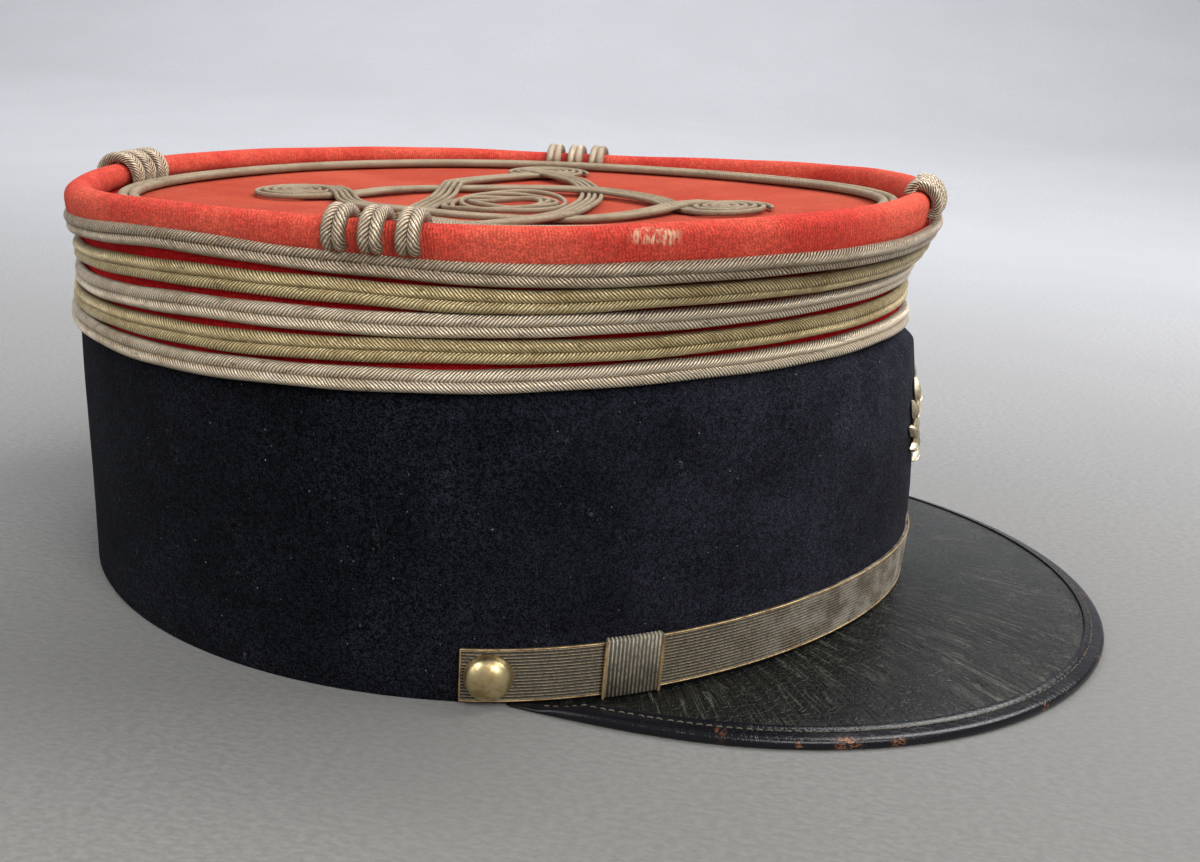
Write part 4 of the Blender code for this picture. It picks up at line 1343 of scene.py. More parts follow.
@dataclass
class Crown:
    """The red felt wall, the padded rim and the sunken top."""

    shape: CapShape
    wall: float = 2.0 * MM
    top_thickness: float = 1.5 * MM
    stations: int = 288
    top_edge_gap: float = 0.3 * MM
    roll_sides: int = 28
    tuck_under: float = 1.3 * MM
    between_rows: float = 0.25 * MM
    behind_first_row: float = 0.9 * MM
    in_roll: float = -0.6 * MM
    under_fullness: float = 0.36
    ripple: float = 0.10 * MM

    def wall_section(self, angle: float) -> list[Vector]:
        """Return the felt wall's outline, softly filled between the rows.

        Args:
            angle: Angle in degrees, 0 at the front.

        Returns:
            The outline's points in order.
        """
        shape = self.shape
        rows = [shape.point(f"row_{row}", angle) for row in range(shape.row_count, 0, -1)]
        rows[0].z += shape.gap / 2
        out = shape.out("row_3", angle)
        outer = [rows[0]]
        for low, high in zip(rows, rows[1:]):
            outer.append(low.lerp(high, 0.5) + out * self.between_rows)
            outer.append(high)
        climb = (outer[-1] - rows[-2]).normalized()
        outer.append(rows[-1] + climb * (2 * shape.cord_radius + 0.2 * MM) - out * self.behind_first_row)
        outer.append(shape.roll(angle, -60.0, self.in_roll))
        inner = [shape.roll(angle, -120.0, self.in_roll)]
        for row in (2, 3, 5):
            inner.append(shape.point(f"row_{row}", angle) - out * self.wall)
        inner[-1].z += shape.gap / 2
        return outer + inner

    def make_wall(self) -> None:
        """Build and seat the felt wall."""
        skin = Skin()
        skin.loft([self.wall_section(angle) for angle in angles_round(self.stations)], closed=True)
        seat_piece(skin.build("turban_felt", WALL_RED.material()), "red_felt", "turban")

    def roll_section(self, angle: float) -> list[Vector]:
        """Return the padded rim's outline, round above and filled down to the first braid row.

        Args:
            angle: Angle in degrees, 0 at the front.

        Returns:
            The outline's points in order.
        """
        shape = self.shape
        radius = shape.roll_radius
        centre = shape.point("roll", angle)
        out = shape.out("roll", angle)
        seat, up, _ = shape.row_frame(1, angle)
        drop = centre.z - (seat + up * (2 * shape.cord_radius)).z + self.tuck_under
        swell = 1.0 + 0.03 * math.sin(math.radians(7 * angle + 20))
        swell += 0.02 * math.sin(math.radians(17 * angle))
        full = radius * swell
        row = []
        for j in range(self.roll_sides):
            turn = 2 * math.pi * j / self.roll_sides
            across = full * math.cos(turn)
            high = full * math.sin(turn)
            if math.sin(turn) < -0.01 and math.cos(turn) > -0.01:
                across = full * max(math.cos(turn), 0.0) ** self.under_fullness
                high = drop * math.sin(turn)
            elif math.sin(turn) < 0.0:
                high = drop * math.sin(turn) * 0.9
            row.append(centre + out * across + Vector((0.0, 0.0, high)))
        return row

    def make_roll(self) -> None:
        """Build and seat the padded rim, a little uneven as hand-filled pads are."""
        skin = Skin()
        skin.loft([self.roll_section(angle) for angle in angles_round(self.stations)], closed=True)
        roll = seat_piece(skin.build("rim_roll", ROLL_RED.material()), "red_felt", "turban")

    def make_top(self) -> None:
        """Build and seat the sunken top, stretched cloth on a stiff dish."""
        shape = self.shape
        shares = [i / 16 for i in range(17)]
        rows = []
        for angle in angles_round(self.stations // 2):
            inset = shape.roll_radius + self.top_edge_gap
            edge = shape.plan("roll", angle) - shape.out("roll", angle) * inset
            upper = []
            for share in shares:
                place = edge * share
                wave = math.sin(place.x / MM * 0.11 + 1.0) * math.sin(place.y / MM * 0.09)
                place.z = shape.top(place.x, place.y) + self.ripple * wave * share
                upper.append(place)
            down = Vector((0.0, 0.0, self.top_thickness))
            lower = [place - down for place in (upper[-1], upper[8], upper[0])]
            rows.append(upper + lower)
        skin = Skin()
        skin.loft(rows, closed=True)
        seat_piece(skin.build("top_felt", TOP_RED.material(), weld=True), "red_felt", "top_disc")

    def make(self) -> None:
        """Build all of the crown's cloth."""
        self.make_wall()
        self.make_roll()
        self.make_top()


@dataclass
class BraidRows:
    """Five rows of doubled cord sewn round the crown."""

    shape: CapShape
    stations: int = 540
    stitch_step: float = 7.0
    spacing: float = 0.90
    swell: float = 1.09
    flatness: float = 0.96
    stitched_length: float = 560.0
    stitch_radius: float = 0.16 * MM
    stitch_lift: float = 0.70 * MM
    stitch_dip: float = 0.25 * MM
    finishes: tuple[CordFinish, ...] = (TARNISHED, GOLD, SILVER, GOLD, SILVER)

    def cord_path(self, row: int, side: int) -> tuple[list[Vector], list[Vector]]:
        """Return a cord's points and the directions off its seat.

        Args:
            row: The row's number, 1 at the rim.
            side: 1 for the upper cord and -1 for the lower.

        Returns:
            The points and the directions.
        """
        path = []
        facings = []
        for angle in angles_round(self.stations):
            middle, up, out = self.shape.row_frame(row, angle)
            turn = math.radians(angle)
            stray = 0.12 * math.sin(9 * turn + row * 2.1) + 0.07 * math.sin(23 * turn + row + side)
            path.append(middle + up * (side * self.spacing * self.shape.cord_radius + stray * MM))
            facings.append(out)
        return path, facings

    def add_stitches(self, row: int, skin: Skin, draws: random.Random) -> None:
        """Add the small couching stitches that lie in a row's valley.

        Args:
            row: The row's number, 1 at the rim.
            skin: Takes the stitches.
            draws: Gives the stitches' stray.
        """
        count = int(self.stitched_length / self.stitch_step)
        for i in range(count):
            angle = 360.0 * (i + draws.uniform(-0.32, 0.32)) / count
            middle, up, out = self.shape.row_frame(row, angle)
            along = up.cross(out)
            lean = draws.uniform(-0.5, 0.5)
            run = (along * math.cos(lean) + up * math.sin(lean)) * (draws.uniform(0.45, 0.85) * MM)
            seat = middle + out * self.stitch_lift
            dip = out * self.stitch_dip
            path = [seat - run - dip, seat - run * 0.5, seat + run * 0.5, seat + run - dip]
            skin.tube(path, self.stitch_radius, lambda _, out=out: out, sides=6, taper=0.5)

    def make(self) -> None:
        """Build and seat the rows and their stitches."""
        draws = random.Random(5)
        for row in range(1, self.shape.row_count + 1):
            skin = Skin()
            for side in (1, -1):
                twist = Twist(side * (-1) ** row)
                path, facings = self.cord_path(row, side)
                skin.tube(path, self.shape.cord_radius * self.swell, facings.__getitem__, closed=True,
                          twist=twist, sides=16, flat=self.flatness)
            finish = self.finishes[row - 1]
            slot = "gold_braid" if finish is GOLD else "silver_braid"
            seat_piece(skin.build(f"row_{row}_cords", finish.material()), slot, f"braid_row_{row}")
            stitches = Skin()
            self.add_stitches(row, stitches, draws)
            seat_piece(stitches.build(f"row_{row}_stitches", GILT_THREAD.material()), slot)


@dataclass
class RimBraids:
    """Short doubled cords that hook over the rim, three at each quarter."""

    shape: CapShape
    pitch: float = 6.7 * MM
    per_side: int = 3
    start: float = -40.0
    samples: int = 28
    laid: float = 1.45 * MM
    tuck: float = 1.5 * MM
    hidden_end: float = 138.0
    spacing: float = 0.92
    swell: float = 1.06

    def path(self, angle: float, slide: float) -> tuple[list[Vector], list[Vector]]:
        """Return a hook's points and outward directions, moved sideways along the rim.

        Args:
            angle: Angle in degrees, 0 at the front.
            slide: Distance moved along the rim.

        Returns:
            The points and the directions.
        """
        shape = self.shape
        out = shape.out("roll", angle)
        along = shape.along("roll", angle)
        centre = shape.point("roll", angle)
        reach = shape.roll_radius + shape.gap + shape.cord_radius
        foot = centre - out * reach
        foot.z = shape.top(foot.x, foot.y) + self.laid
        drop = (foot.z - centre.z) / reach
        last = 180.0 - math.degrees(math.asin(max(min(drop, 0.9), 0.0)))
        hidden = abs(angle - Quarter.FRONT.value) < 20.0
        if hidden:
            last = self.hidden_end
        points = []
        facings = []
        for turn in angles_between(self.start, last, self.samples):
            away = out * math.cos(math.radians(turn)) + Vector((0.0, 0.0, math.sin(math.radians(turn))))
            tucked = self.tuck * (min(turn, 0.0) / self.start) ** 2
            if hidden:
                tucked += self.tuck * smooth_share(turn, 90.0, last)
            points.append(centre + away * (reach - tucked) + along * slide)
            facings.append(away)
        if drop < 0.0 and not hidden:
            points.append(foot + along * slide)
            facings.append(-out)
        return points, facings

    def make(self) -> None:
        """Build and seat the hooks."""
        shape = self.shape
        for quarter in Quarter:
            step = shape.step("roll", quarter.value)
            for number in range(1, self.per_side + 1):
                angle = quarter.value + (number - (self.per_side + 1) / 2) * self.pitch / step
                skin = Skin()
                for side, twist in ((1, Twist.S), (-1, Twist.Z)):
                    points, facings = self.path(angle, side * self.spacing * shape.cord_radius)
                    skin.tube(points, shape.cord_radius * self.swell, facings.__getitem__, twist=twist,
                              sides=14, taper=0.25)
                name = f"{quarter.name.lower()}_{number}"
                hook = skin.build(f"rim_cords_{name}", TARNISHED.material())
                seat_piece(hook, "silver_braid", f"rim_braid_{name}")


def eased_path(points: Sequence[tuple[float, float, float]], steps: int) -> list[tuple[float, float, float]]:
    """Return a smooth path through points, with a number of steps to each stretch.

    Args:
        points: Points that the path passes through.
        steps: Number of steps to each stretch.

    Returns:
        The path's points.
    """
    ends = [points[0], *points, points[-1]]
    path = []
    for a, b, c, d in zip(ends, ends[1:], ends[2:], ends[3:]):
        for i in range(steps):
            t = i / steps
            path.append(tuple(0.5 * (2 * q + (r - p) * t + (2 * p - 5 * q + 4 * r - s) * t * t
                                     + (3 * q - p - 3 * r + s) * t ** 3) for p, q, r, s in zip(a, b, c, d)))
    path.append(points[-1])
    return path


@dataclass(frozen=True)
class Rosette:
    """A coiled lobe of the knot: middle and half sizes in millimetres."""

    x: float
    y: float
    half_length: float
    half_width: float


@dataclass
class TopBraid:
    """The ring and the interlaced knot that lie on the sunken top.

    A strand is a row of chosen points: two places in millimetres and a height,
    0 where it passes under another strand and 1 where it passes over.
    """

    shape: CapShape
    ring_half_length: float = 88.5 * MM
    ring_half_width: float = 78.0 * MM
    ring_shift: float = -1.5 * MM
    ring_egg: float = 0.1
    cord: float = 0.62 * MM
    lane: float = 1.5 * MM
    lift: float = 0.9 * MM
    off_top: float = 0.3 * MM
    ring_flatness: float = 0.85
    coil_step: float = 2.0 * MM
    coil_turns: float = 5.0
    strands: tuple[tuple[tuple[float, float, float], ...], ...] = (
        ((-2, 64, 0.2), (-9, 58, 0.5), (-20, 47, 0.5), (-26, 34, 0.8), (-25, 25, 1), (-21, 5, 0.5),
         (-18, -18, 0.3), (-16, -34, 0), (-10, -48, 0.4), (-2, -57, 0.5), (6, -64, 0.4)),
        ((-14, 64, 0.8), (-6, 57, 1), (4, 48, 0.5), (10, 35, 0.2), (13, 25, 0), (16, 5, 0.5), (17, -18, 0.7),
         (17, -34, 1), (12, -48, 0.6), (4, -57, 0), (-4, -64, 0)),
        ((-52, -9, 0.2), (-45, -1, 0), (-38, 12, 0.5), (-32, 21, 0.2), (-25, 26, 0), (-5, 30, 0.5),
         (13, 26, 1), (24, 19, 0.8), (33, 9, 0.5), (39, -3, 0), (45, -12, 0)),
        ((-52, 8, 0.8), (-45, -1, 1), (-37, -16, 0.5), (-28, -28, 0.8), (-16, -35, 1), (0, -38, 0.5),
         (17, -35, 0), (27, -29, 0.2), (34, -17, 0.5), (39, -5, 1), (45, 4, 0.8)),
    )
    rosettes: tuple[Rosette, ...] = (Rosette(-56, -1, 11.5, 15.0), Rosette(50.5, -5, 11.0, 14.5),
                                     Rosette(-8, 64.5, 12.5, 9.6), Rosette(1, -65, 12.5, 9.6))
    ring_middle: tuple[float, float] = (-2.5, -4.0)
    eye_half_sizes: tuple[tuple[float, float], ...] = ((8.4, 9.0), (10.2, 13.6), (12.0, 18.2), (13.8, 22.8))

    def laid(self, x: float, y: float, lift: float) -> Vector:
        """Return a point at a height above the sunken top."""
        return Vector((x, y, self.shape.top(x, y) + lift))

    def knot_height(self, share: float) -> float:
        """Return the height of a knot cord's middle, with its share of a crossing's lift."""
        return self.off_top + self.cord + self.lift * share

    def make_ring(self) -> None:
        """Build and seat the ring of two cords."""
        skin = Skin()
        radius = self.shape.cord_radius
        for side, twist in ((1, Twist.S), (-1, Twist.Z)):
            path = []
            for angle in angles_round(360):
                turn = math.radians(angle)
                slope_x = math.cos(turn) / self.ring_half_length
                slope_y = math.sin(turn) / self.ring_half_width
                away = Vector((slope_x, slope_y, 0.0)).normalized() * (side * radius)
                x = self.ring_shift + self.ring_half_length * math.cos(turn) + away.x
                y = self.ring_half_width * math.sin(turn) * (1 - self.ring_egg * math.cos(turn)) + away.y
                path.append(self.laid(x, y, self.off_top + self.ring_flatness * radius))
            skin.tube(path, radius, face_up, closed=True, twist=twist, flat=self.ring_flatness)
        seat_piece(skin.build("top_ring_cords", DULL.material()), "dull_braid", "top_ring_braid")

    def add_strand(self, skin: Skin, strand: Sequence[tuple[float, float, float]],
                   draws: random.Random) -> None:
        """Add a strand of four cords side by side.

        Args:
            skin: Takes the cords.
            strand: The strand's chosen points.
            draws: Gives the cords' stray.
        """
        middle = eased_path(strand, 9)
        for number in (-1.5, -0.5, 0.5, 1.5):
            phase = draws.uniform(0.0, 6.0)
            points = []
            for i, (x, y, high) in enumerate(middle):
                ahead = middle[min(i + 1, len(middle) - 1)]
                behind = middle[max(i - 1, 0)]
                run = Vector((ahead[0] - behind[0], ahead[1] - behind[1], 0.0)).normalized()
                share = i / (len(middle) - 1)
                spread = 0.82 + 0.22 * math.sin(math.pi * share) + 0.08 * math.sin(phase + 9 * share)
                lane = number * self.lane * spread
                place = (x * MM - run.y * lane, y * MM + run.x * lane)
                points.append(self.laid(*place, self.knot_height(high)))
            twist = Twist.S if abs(number) > 1.0 else Twist.Z
            skin.tube(points, self.cord, face_up, twist=twist, sides=8, taper=0.3)

    def add_rosette(self, skin: Skin, rosette: Rosette) -> None:
        """Add a lobe, one cord coiled from its rim towards its middle.

        Args:
            skin: Takes the cord.
            rosette: The lobe.
        """
        points = []
        steps = 40
        for i in range(int(self.coil_turns * steps)):
            turn = 2 * math.pi * i / steps
            inward = self.coil_step * i / steps
            across = rosette.half_length * MM - self.cord - inward
            along = rosette.half_width * MM - self.cord - inward * rosette.half_width / rosette.half_length
            if min(across, along) < self.cord:
                break
            x = rosette.x * MM + across * math.cos(turn)
            y = rosette.y * MM + along * math.sin(turn)
            points.append(self.laid(x, y, self.knot_height(0.55 * smooth_share(inward, 0.0, 4.0 * MM))))
        skin.tube(points, self.cord, face_up, sides=8, taper=0.4)

    def make_knot(self) -> None:
        """Build and seat the knot: four strands, four coiled lobes and the rings round the middle eye."""
        skin = Skin()
        draws = random.Random(3)
        for strand in self.strands:
            self.add_strand(skin, strand, draws)
        for rosette in self.rosettes:
            self.add_rosette(skin, rosette)
        for number, (half_length, half_width) in enumerate(self.eye_half_sizes):
            points = []
            for angle in angles_round(72):
                turn = math.radians(angle)
                lift = self.knot_height(0.5 * (1.0 + math.sin(2 * turn + number * math.pi / 2)))
                x = (self.ring_middle[0] + half_length * math.cos(turn)) * MM
                y = (self.ring_middle[1] + half_width * math.sin(turn)) * MM
                points.append(self.laid(x, y, lift))
            skin.tube(points, self.cord, face_up, closed=True, sides=8)
        seat_piece(skin.build("top_knot_cords", DULL.material()), "dull_braid", "top_knot")

    def make(self) -> None:
        """Build the top's braid."""
        self.make_ring()
        self.make_knot()


@dataclass
class Peak:
    """The leather peak with its folded and stitched binding."""

    shape: CapShape
    reach: float = 94.0 * MM
    tail: float = 120.0 * MM
    centre: float = 55.0 * MM
    half_width: float = 86.8 * MM
    edge_thickness: float = 1.0 * MM
    crown: float = 1.2 * MM
    half_angle: float = 76.5
    root_gap: float = 0.3 * MM
    under_strap: float = 3.4 * MM
    emerge_slope: float = 0.6
    binding_angle: float = 76.0
    binding_width: float = 4.8 * MM
    binding_wall: float = 0.6 * MM
    binding_profile: tuple[tuple[float, float], ...] = (
        (0.0, 0.0), (0.0, 0.55), (0.06, 0.72), (0.25, 0.74), (0.38, 0.66), (0.43, 0.52), (0.48, 0.66),
        (0.62, 0.78), (0.82, 0.85), (1.0, 0.88))
    edge_radius: float = 0.9 * MM
    stitch_radius: float = 0.17 * MM
    stitch_half_length: float = 0.62 * MM
    stitch_height: float = 0.13 * MM
    gap: float = 0.1 * MM
    stitch_step: float = 1.9

    def profile(self, angle: float) -> tuple[Vector, Vector, float]:
        """Return the root point, level direction and full width of the peak at an angle.

        Args:
            angle: Angle in degrees, 0 at the front.

        Returns:
            The root point, the direction and the width.
        """
        shape = self.shape
        x = shape.plan("hem", angle).x
        root = shape.band(angle, shape.hem(x), self.root_gap)
        root.z = shape.peak_root(x)
        tail = Vector((shape.band(self.half_angle, 0.0).x * 0.8, 0.0, 0.0))
        ray = Vector((root.x, root.y, 0.0)) - tail
        low, high = 1.0, 4.0
        for _ in range(40):
            middle = (low + high) / 2
            point = tail + ray * middle
            reach = self.reach if point.x > self.centre else self.tail
            inside = ((point.x - self.centre) / reach) ** 2 + (point.y / self.half_width) ** 2 < 1.0
            low, high = (middle, high) if inside else (low, middle)
        edge = tail + ray * low
        edge.z = root.z
        return root, (edge - root).normalized(), (edge - root).length

    def bound_from(self, leather: float) -> float:
        """Return the distance from the root at which the binding starts on a width of leather."""
        return leather - min(self.binding_width - self.edge_radius, 0.65 * leather)

    def faces_at(self, root: Vector, width: float, at: float) -> tuple[float, float]:
        """Return the heights of the leather's lower and upper face at a distance from the root.

        Args:
            root: The root point.
            width: The peak's full width there.
            at: Distance from the root.

        Returns:
            The lower and the upper height.
        """
        leather = width - self.binding_wall - self.gap
        flat = leather - min(1.8 * MM, 0.6 * leather)
        bound = self.bound_from(leather)
        share = min(at / flat, 1.0)
        full = smooth_share(leather, 2.0 * MM, 9.0 * MM)
        rise = self.crown * min(2 * leather / self.reach, 1.0) * 4 * share * (1 - share) * full
        low_root = max(root.z - self.shape.peak_thickness, 0.0)
        low_edge = (self.binding_wall + self.gap) * full
        low = low_root + (low_edge - low_root) * share + rise
        thin = max(at - bound, 0.0) / (leather - bound)
        thick = self.shape.peak_thickness + (self.edge_thickness - self.shape.peak_thickness) * thin
        highest = root.z + self.emerge_slope * max(at - self.under_strap, 0.0)
        return low, min(low + thick, highest)

    def spot(self, root: Vector, ahead: Vector, at: float, height: float) -> Vector:
        """Return the point at a distance from the root and a height.

        Args:
            root: The root point.
            ahead: Level direction to the edge.
            at: Distance from the root.
            height: Height above the floor.

        Returns:
            The point.
        """
        place = root + ahead * at
        place.z = height
        return place

    def make_leather(self) -> None:
        """Build and seat the leather."""
        rows = []
        for angle in angles_between(-self.half_angle, self.half_angle, 200):
            root, ahead, width = self.profile(angle)
            leather = width - self.binding_wall - self.gap
            steps = [leather * i / 18 for i in range(19)]
            upper = [self.spot(root, ahead, at, self.faces_at(root, width, at)[1]) for at in steps]
            lower = [self.spot(root, ahead, at, self.faces_at(root, width, at)[0]) for at in steps[::-3]]
            rows.append(upper + lower)
        skin = Skin()
        skin.loft(rows)
        seat_piece(skin.build("peak_leather", PATENT.material()), "patent_leather", "peak")

    def binding_section(self, angle: float) -> list[Vector]:
        """Return the binding's outline at an angle: a step, a flat, a stitch line and a rolled edge.

        Args:
            angle: Angle in degrees, 0 at the front.

        Returns:
            The outline's points in order.
        """
        root, ahead, width = self.profile(angle)
        leather = width - self.binding_wall - self.gap
        bound = self.bound_from(leather)
        edge_low, edge_high = self.faces_at(root, width, leather)
        upper = []
        run = leather - 0.4 * MM - bound
        for share, lift in self.binding_profile:
            at = bound + run * share
            face = self.faces_at(root, width, at)[1]
            upper.append(self.spot(root, ahead, at, face + 0.02 * MM + lift * self.binding_wall))
        top = edge_high + 0.9 * self.binding_wall
        middle = top / 2
        roll = []
        for turn in (60, 35, 12, -12, -35, -60):
            across = width - self.edge_radius + self.edge_radius * math.cos(math.radians(turn))
            roll.append(self.spot(root, ahead, across, middle + middle * math.sin(math.radians(turn))))
        corners = ((0.4 * MM, 0.0), (1.5 * MM, 0.02 * MM), (1.5 * MM, edge_low - 0.05 * MM),
                   (0.0, edge_low - 0.05 * MM), (0.0, edge_high + 0.02 * MM))
        return upper + roll + [self.spot(root, ahead, leather - back, high) for back, high in corners]

    def make_binding(self) -> None:
        """Build and seat the binding."""
        skin = Skin()
        angles = angles_between(-self.binding_angle, self.binding_angle, 176)
        skin.loft([self.binding_section(angle) for angle in angles])
        binding = skin.build("peak_edge_binding", PATENT_EDGE.material(), sharp=40.0)
        seat_piece(binding, "patent_leather", "peak_binding")

    def make_stitches(self) -> None:
        """Build and seat the stitches that hold the binding."""
        skin = Skin()
        angles = angles_between(-self.binding_angle + 3, self.binding_angle - 3, 900)
        places = [self.binding_section(angle)[5] for angle in angles]
        draws = random.Random(11)
        gone = 0.0
        last = places[0]
        step = self.stitch_step * MM
        for place in places[1:]:
            gone += (place - last).length
            if gone >= step:
                gone -= step
                run = (place - last).normalized() * self.stitch_half_length
                lean = Vector((0.0, 0.0, 1.0)).cross(run).normalized() * (draws.uniform(-0.1, 0.1) * MM)
                up = Vector((0.0, 0.0, self.stitch_height))
                path = [place - run - lean - up * 0.6, place - run * 0.5 - lean * 0.5 + up,
                        place + run * 0.5 + lean * 0.5 + up, place + run + lean - up * 0.6]
                skin.tube(path, self.stitch_radius, face_up, sides=6, taper=0.4)
            last = place
        seat_piece(skin.build("peak_stitches", THREAD.material()), "patent_leather")

    def make(self) -> None:
        """Build the peak."""
        self.make_leather()
        self.make_binding()
        self.make_stitches()


@dataclass
class ChinStrap:
    """The ribbed strap round the front, with its two slides and its piping."""

    shape: CapShape
    height: float = 11.2 * MM
    thickness: float = 0.9 * MM
    gap: float = 0.15 * MM
    half_angle: float = 81.6
    ribs: int = 16
    rib_depth: float = 0.22 * MM
    slide_angle: float = 62.6
    slide_length: float = 11.5 * MM
    slide_ribs: int = 14
    slide_lip: float = 0.55 * MM
    slide_wall: float = 0.45 * MM
    slide_piping: float = 0.36 * MM
    piping: float = 0.17 * MM

    def spot(self, angle: float, up: float, out: float) -> Vector:
        """Return the point at a height above the strap's lower edge and a distance off the band."""
        height = self.shape.strap_line(self.shape.plan("hem", angle).x) + up
        return self.shape.band(angle, height, out)

    def make_ribbon(self) -> None:
        """Build and seat the ribbed ribbon."""
        face = self.gap + self.thickness
        ups = []
        outs = []
        steps = self.ribs * 4
        for i in range(steps + 1):
            rib = abs(math.sin(math.pi * i / 4))
            ups.append(self.height * i / steps)
            outs.append(face - self.rib_depth * (1.0 - rib))
        ups += [self.height, 0.0]
        outs += [self.gap, self.gap]
        girth = [up / self.height for up in ups] + [0.0]
        rows = []
        for angle in angles_between(-self.half_angle, self.half_angle, 150):
            rows.append([self.spot(angle, up, out) for up, out in zip(ups, outs)])
        skin = Skin()
        skin.loft(rows, girth=girth)
        seat_piece(skin.build("strap_ribbon", RIBBON.material(), sharp=80.0), "ribbed_ribbon", "chin_strap")

    def make_piping(self) -> None:
        """Build and seat the gilt thread along the strap's edges and its ends."""
        face = self.gap + self.thickness
        path = []
        count = 150
        for angle in angles_between(-self.half_angle, self.half_angle, count):
            path.append(self.spot(angle, self.height, face - 0.1 * MM))
        path += [self.spot(self.half_angle, self.height * (1 - i / 8), face) for i in range(1, 8)]
        for angle in angles_between(self.half_angle, -self.half_angle, count):
            path.append(self.spot(angle, 0.0, face - 0.1 * MM))
        path += [self.spot(-self.half_angle, self.height * i / 8, face) for i in range(1, 8)]
        skin = Skin()
        skin.tube(path, self.piping, lambda i: level(path[i]), closed=True, sides=8)
        seat_piece(skin.build("strap_piping", GILT_THREAD.material(), sharp=80.0), "ribbed_ribbon")

    def make_slide(self, side: Side) -> None:
        """Build and seat one slide with its upright ribs and piped sides.

        Args:
            side: The side of the cap.
        """
        middle = self.slide_angle * side.value
        per_degree = self.shape.step("hem", middle)
        half = self.slide_length / per_degree / 2
        back = self.gap + 0.2 * MM
        inside = self.gap + self.thickness + 0.1 * MM
        low, high = -0.15 * MM, self.height + 0.15 * MM
        lip = self.slide_lip
        rows = []
        steps = self.slide_ribs * 4
        for i in range(steps + 1):
            angle = middle - half + 2 * half * i / steps
            rib = abs(math.sin(math.pi * i / 4))
            face = inside + self.slide_wall + self.rib_depth * 1.1 * rib
            tall = self.rib_depth * 0.8 * rib
            top, bottom = high + lip + tall, low - lip - tall
            corners = ((low, back), (low, inside), (high, inside), (high, back), (top, back), (top, inside),
                       (high + 0.5 * lip, face), (low - 0.5 * lip, face), (bottom, inside), (bottom, back))
            rows.append([self.spot(angle, up, out) for up, out in corners])
        skin = Skin()
        skin.loft(rows)
        length = self.slide_length / MM
        skin.corners = [(across, along / length) for along, across in skin.corners]
        name = side.name.lower()
        seat_piece(skin.build(f"slide_ribbon_{name}", RIBBON_SLIDE.material(), sharp=80.0), "ribbed_ribbon",
                   f"strap_slide_{name}")
        edge = Skin()
        for end in (-1.0, 1.0):
            angle = middle + end * half
            face = inside + self.slide_wall + self.rib_depth
            path = [self.spot(angle, low - lip + (high - low + 2 * lip) * i / 10, face) for i in range(11)]
            out = self.shape.out("hem", angle)
            edge.tube(path, self.slide_piping, lambda _, out=out: out, sides=8, taper=0.3)
        seat_piece(edge.build(f"slide_piping_{name}", GILT_THREAD.material()), "ribbed_ribbon")

    def make(self) -> None:
        """Build the strap, its piping and its slides."""
        self.make_ribbon()
        self.make_piping()
        for side in Side:
            self.make_slide(side)


@dataclass
class SideButton:
    """A domed brass button at each end of the strap."""

    strap: ChinStrap
    side: Side
    angle: float = 78.5
    radius: float = 4.9 * MM
    height: float = 3.6 * MM
    rim: float = 0.7 * MM

    def make(self) -> None:
        """Build and seat the button."""
        strap = self.strap
        angle = self.angle * self.side.value
        seat = strap.spot(angle, strap.height / 2, strap.gap + strap.thickness - 0.1 * MM)
        along = strap.shape.along("hem", angle)
        up = (strap.spot(angle, strap.height, 0.0) - strap.spot(angle, 0.0, 0.0)).normalized()
        out = along.cross(up).normalized()
        lift = 0.4 * MM
        dome = self.height - self.rim
        outline = [(self.radius * 0.7, 0.0), (self.radius * 0.96, 0.0), (self.radius, lift * 0.6),
                   (self.radius, lift + 0.35 * MM), (self.radius * 0.97, lift + self.rim)]
        for i in range(1, 12):
            turn = math.radians(8.0 * i)
            outline.append((self.radius * 0.955 * math.cos(turn), lift + self.rim + dome * math.sin(turn)))
        outline.append((0.001 * MM, lift + self.rim + dome))
        rows = []
        for i in range(72):
            turn = 2 * math.pi * i / 72
            row = []
            for radius, high in outline:
                beat = radius * (1.0 + 0.012 * math.sin(3 * turn + high * 900))
                row.append(seat + along * (beat * math.cos(turn)) + up * (beat * math.sin(turn)) + out * high)
            rows.append(row)
        skin = Skin()
        skin.loft(rows, closed=True, ringed=False)
        name = self.side.name.lower()
        button = skin.build(f"domed_button_{name}", BRASS.material(), sharp=60.0)
        seat_piece(button, "aged_brass", f"button_{name}")


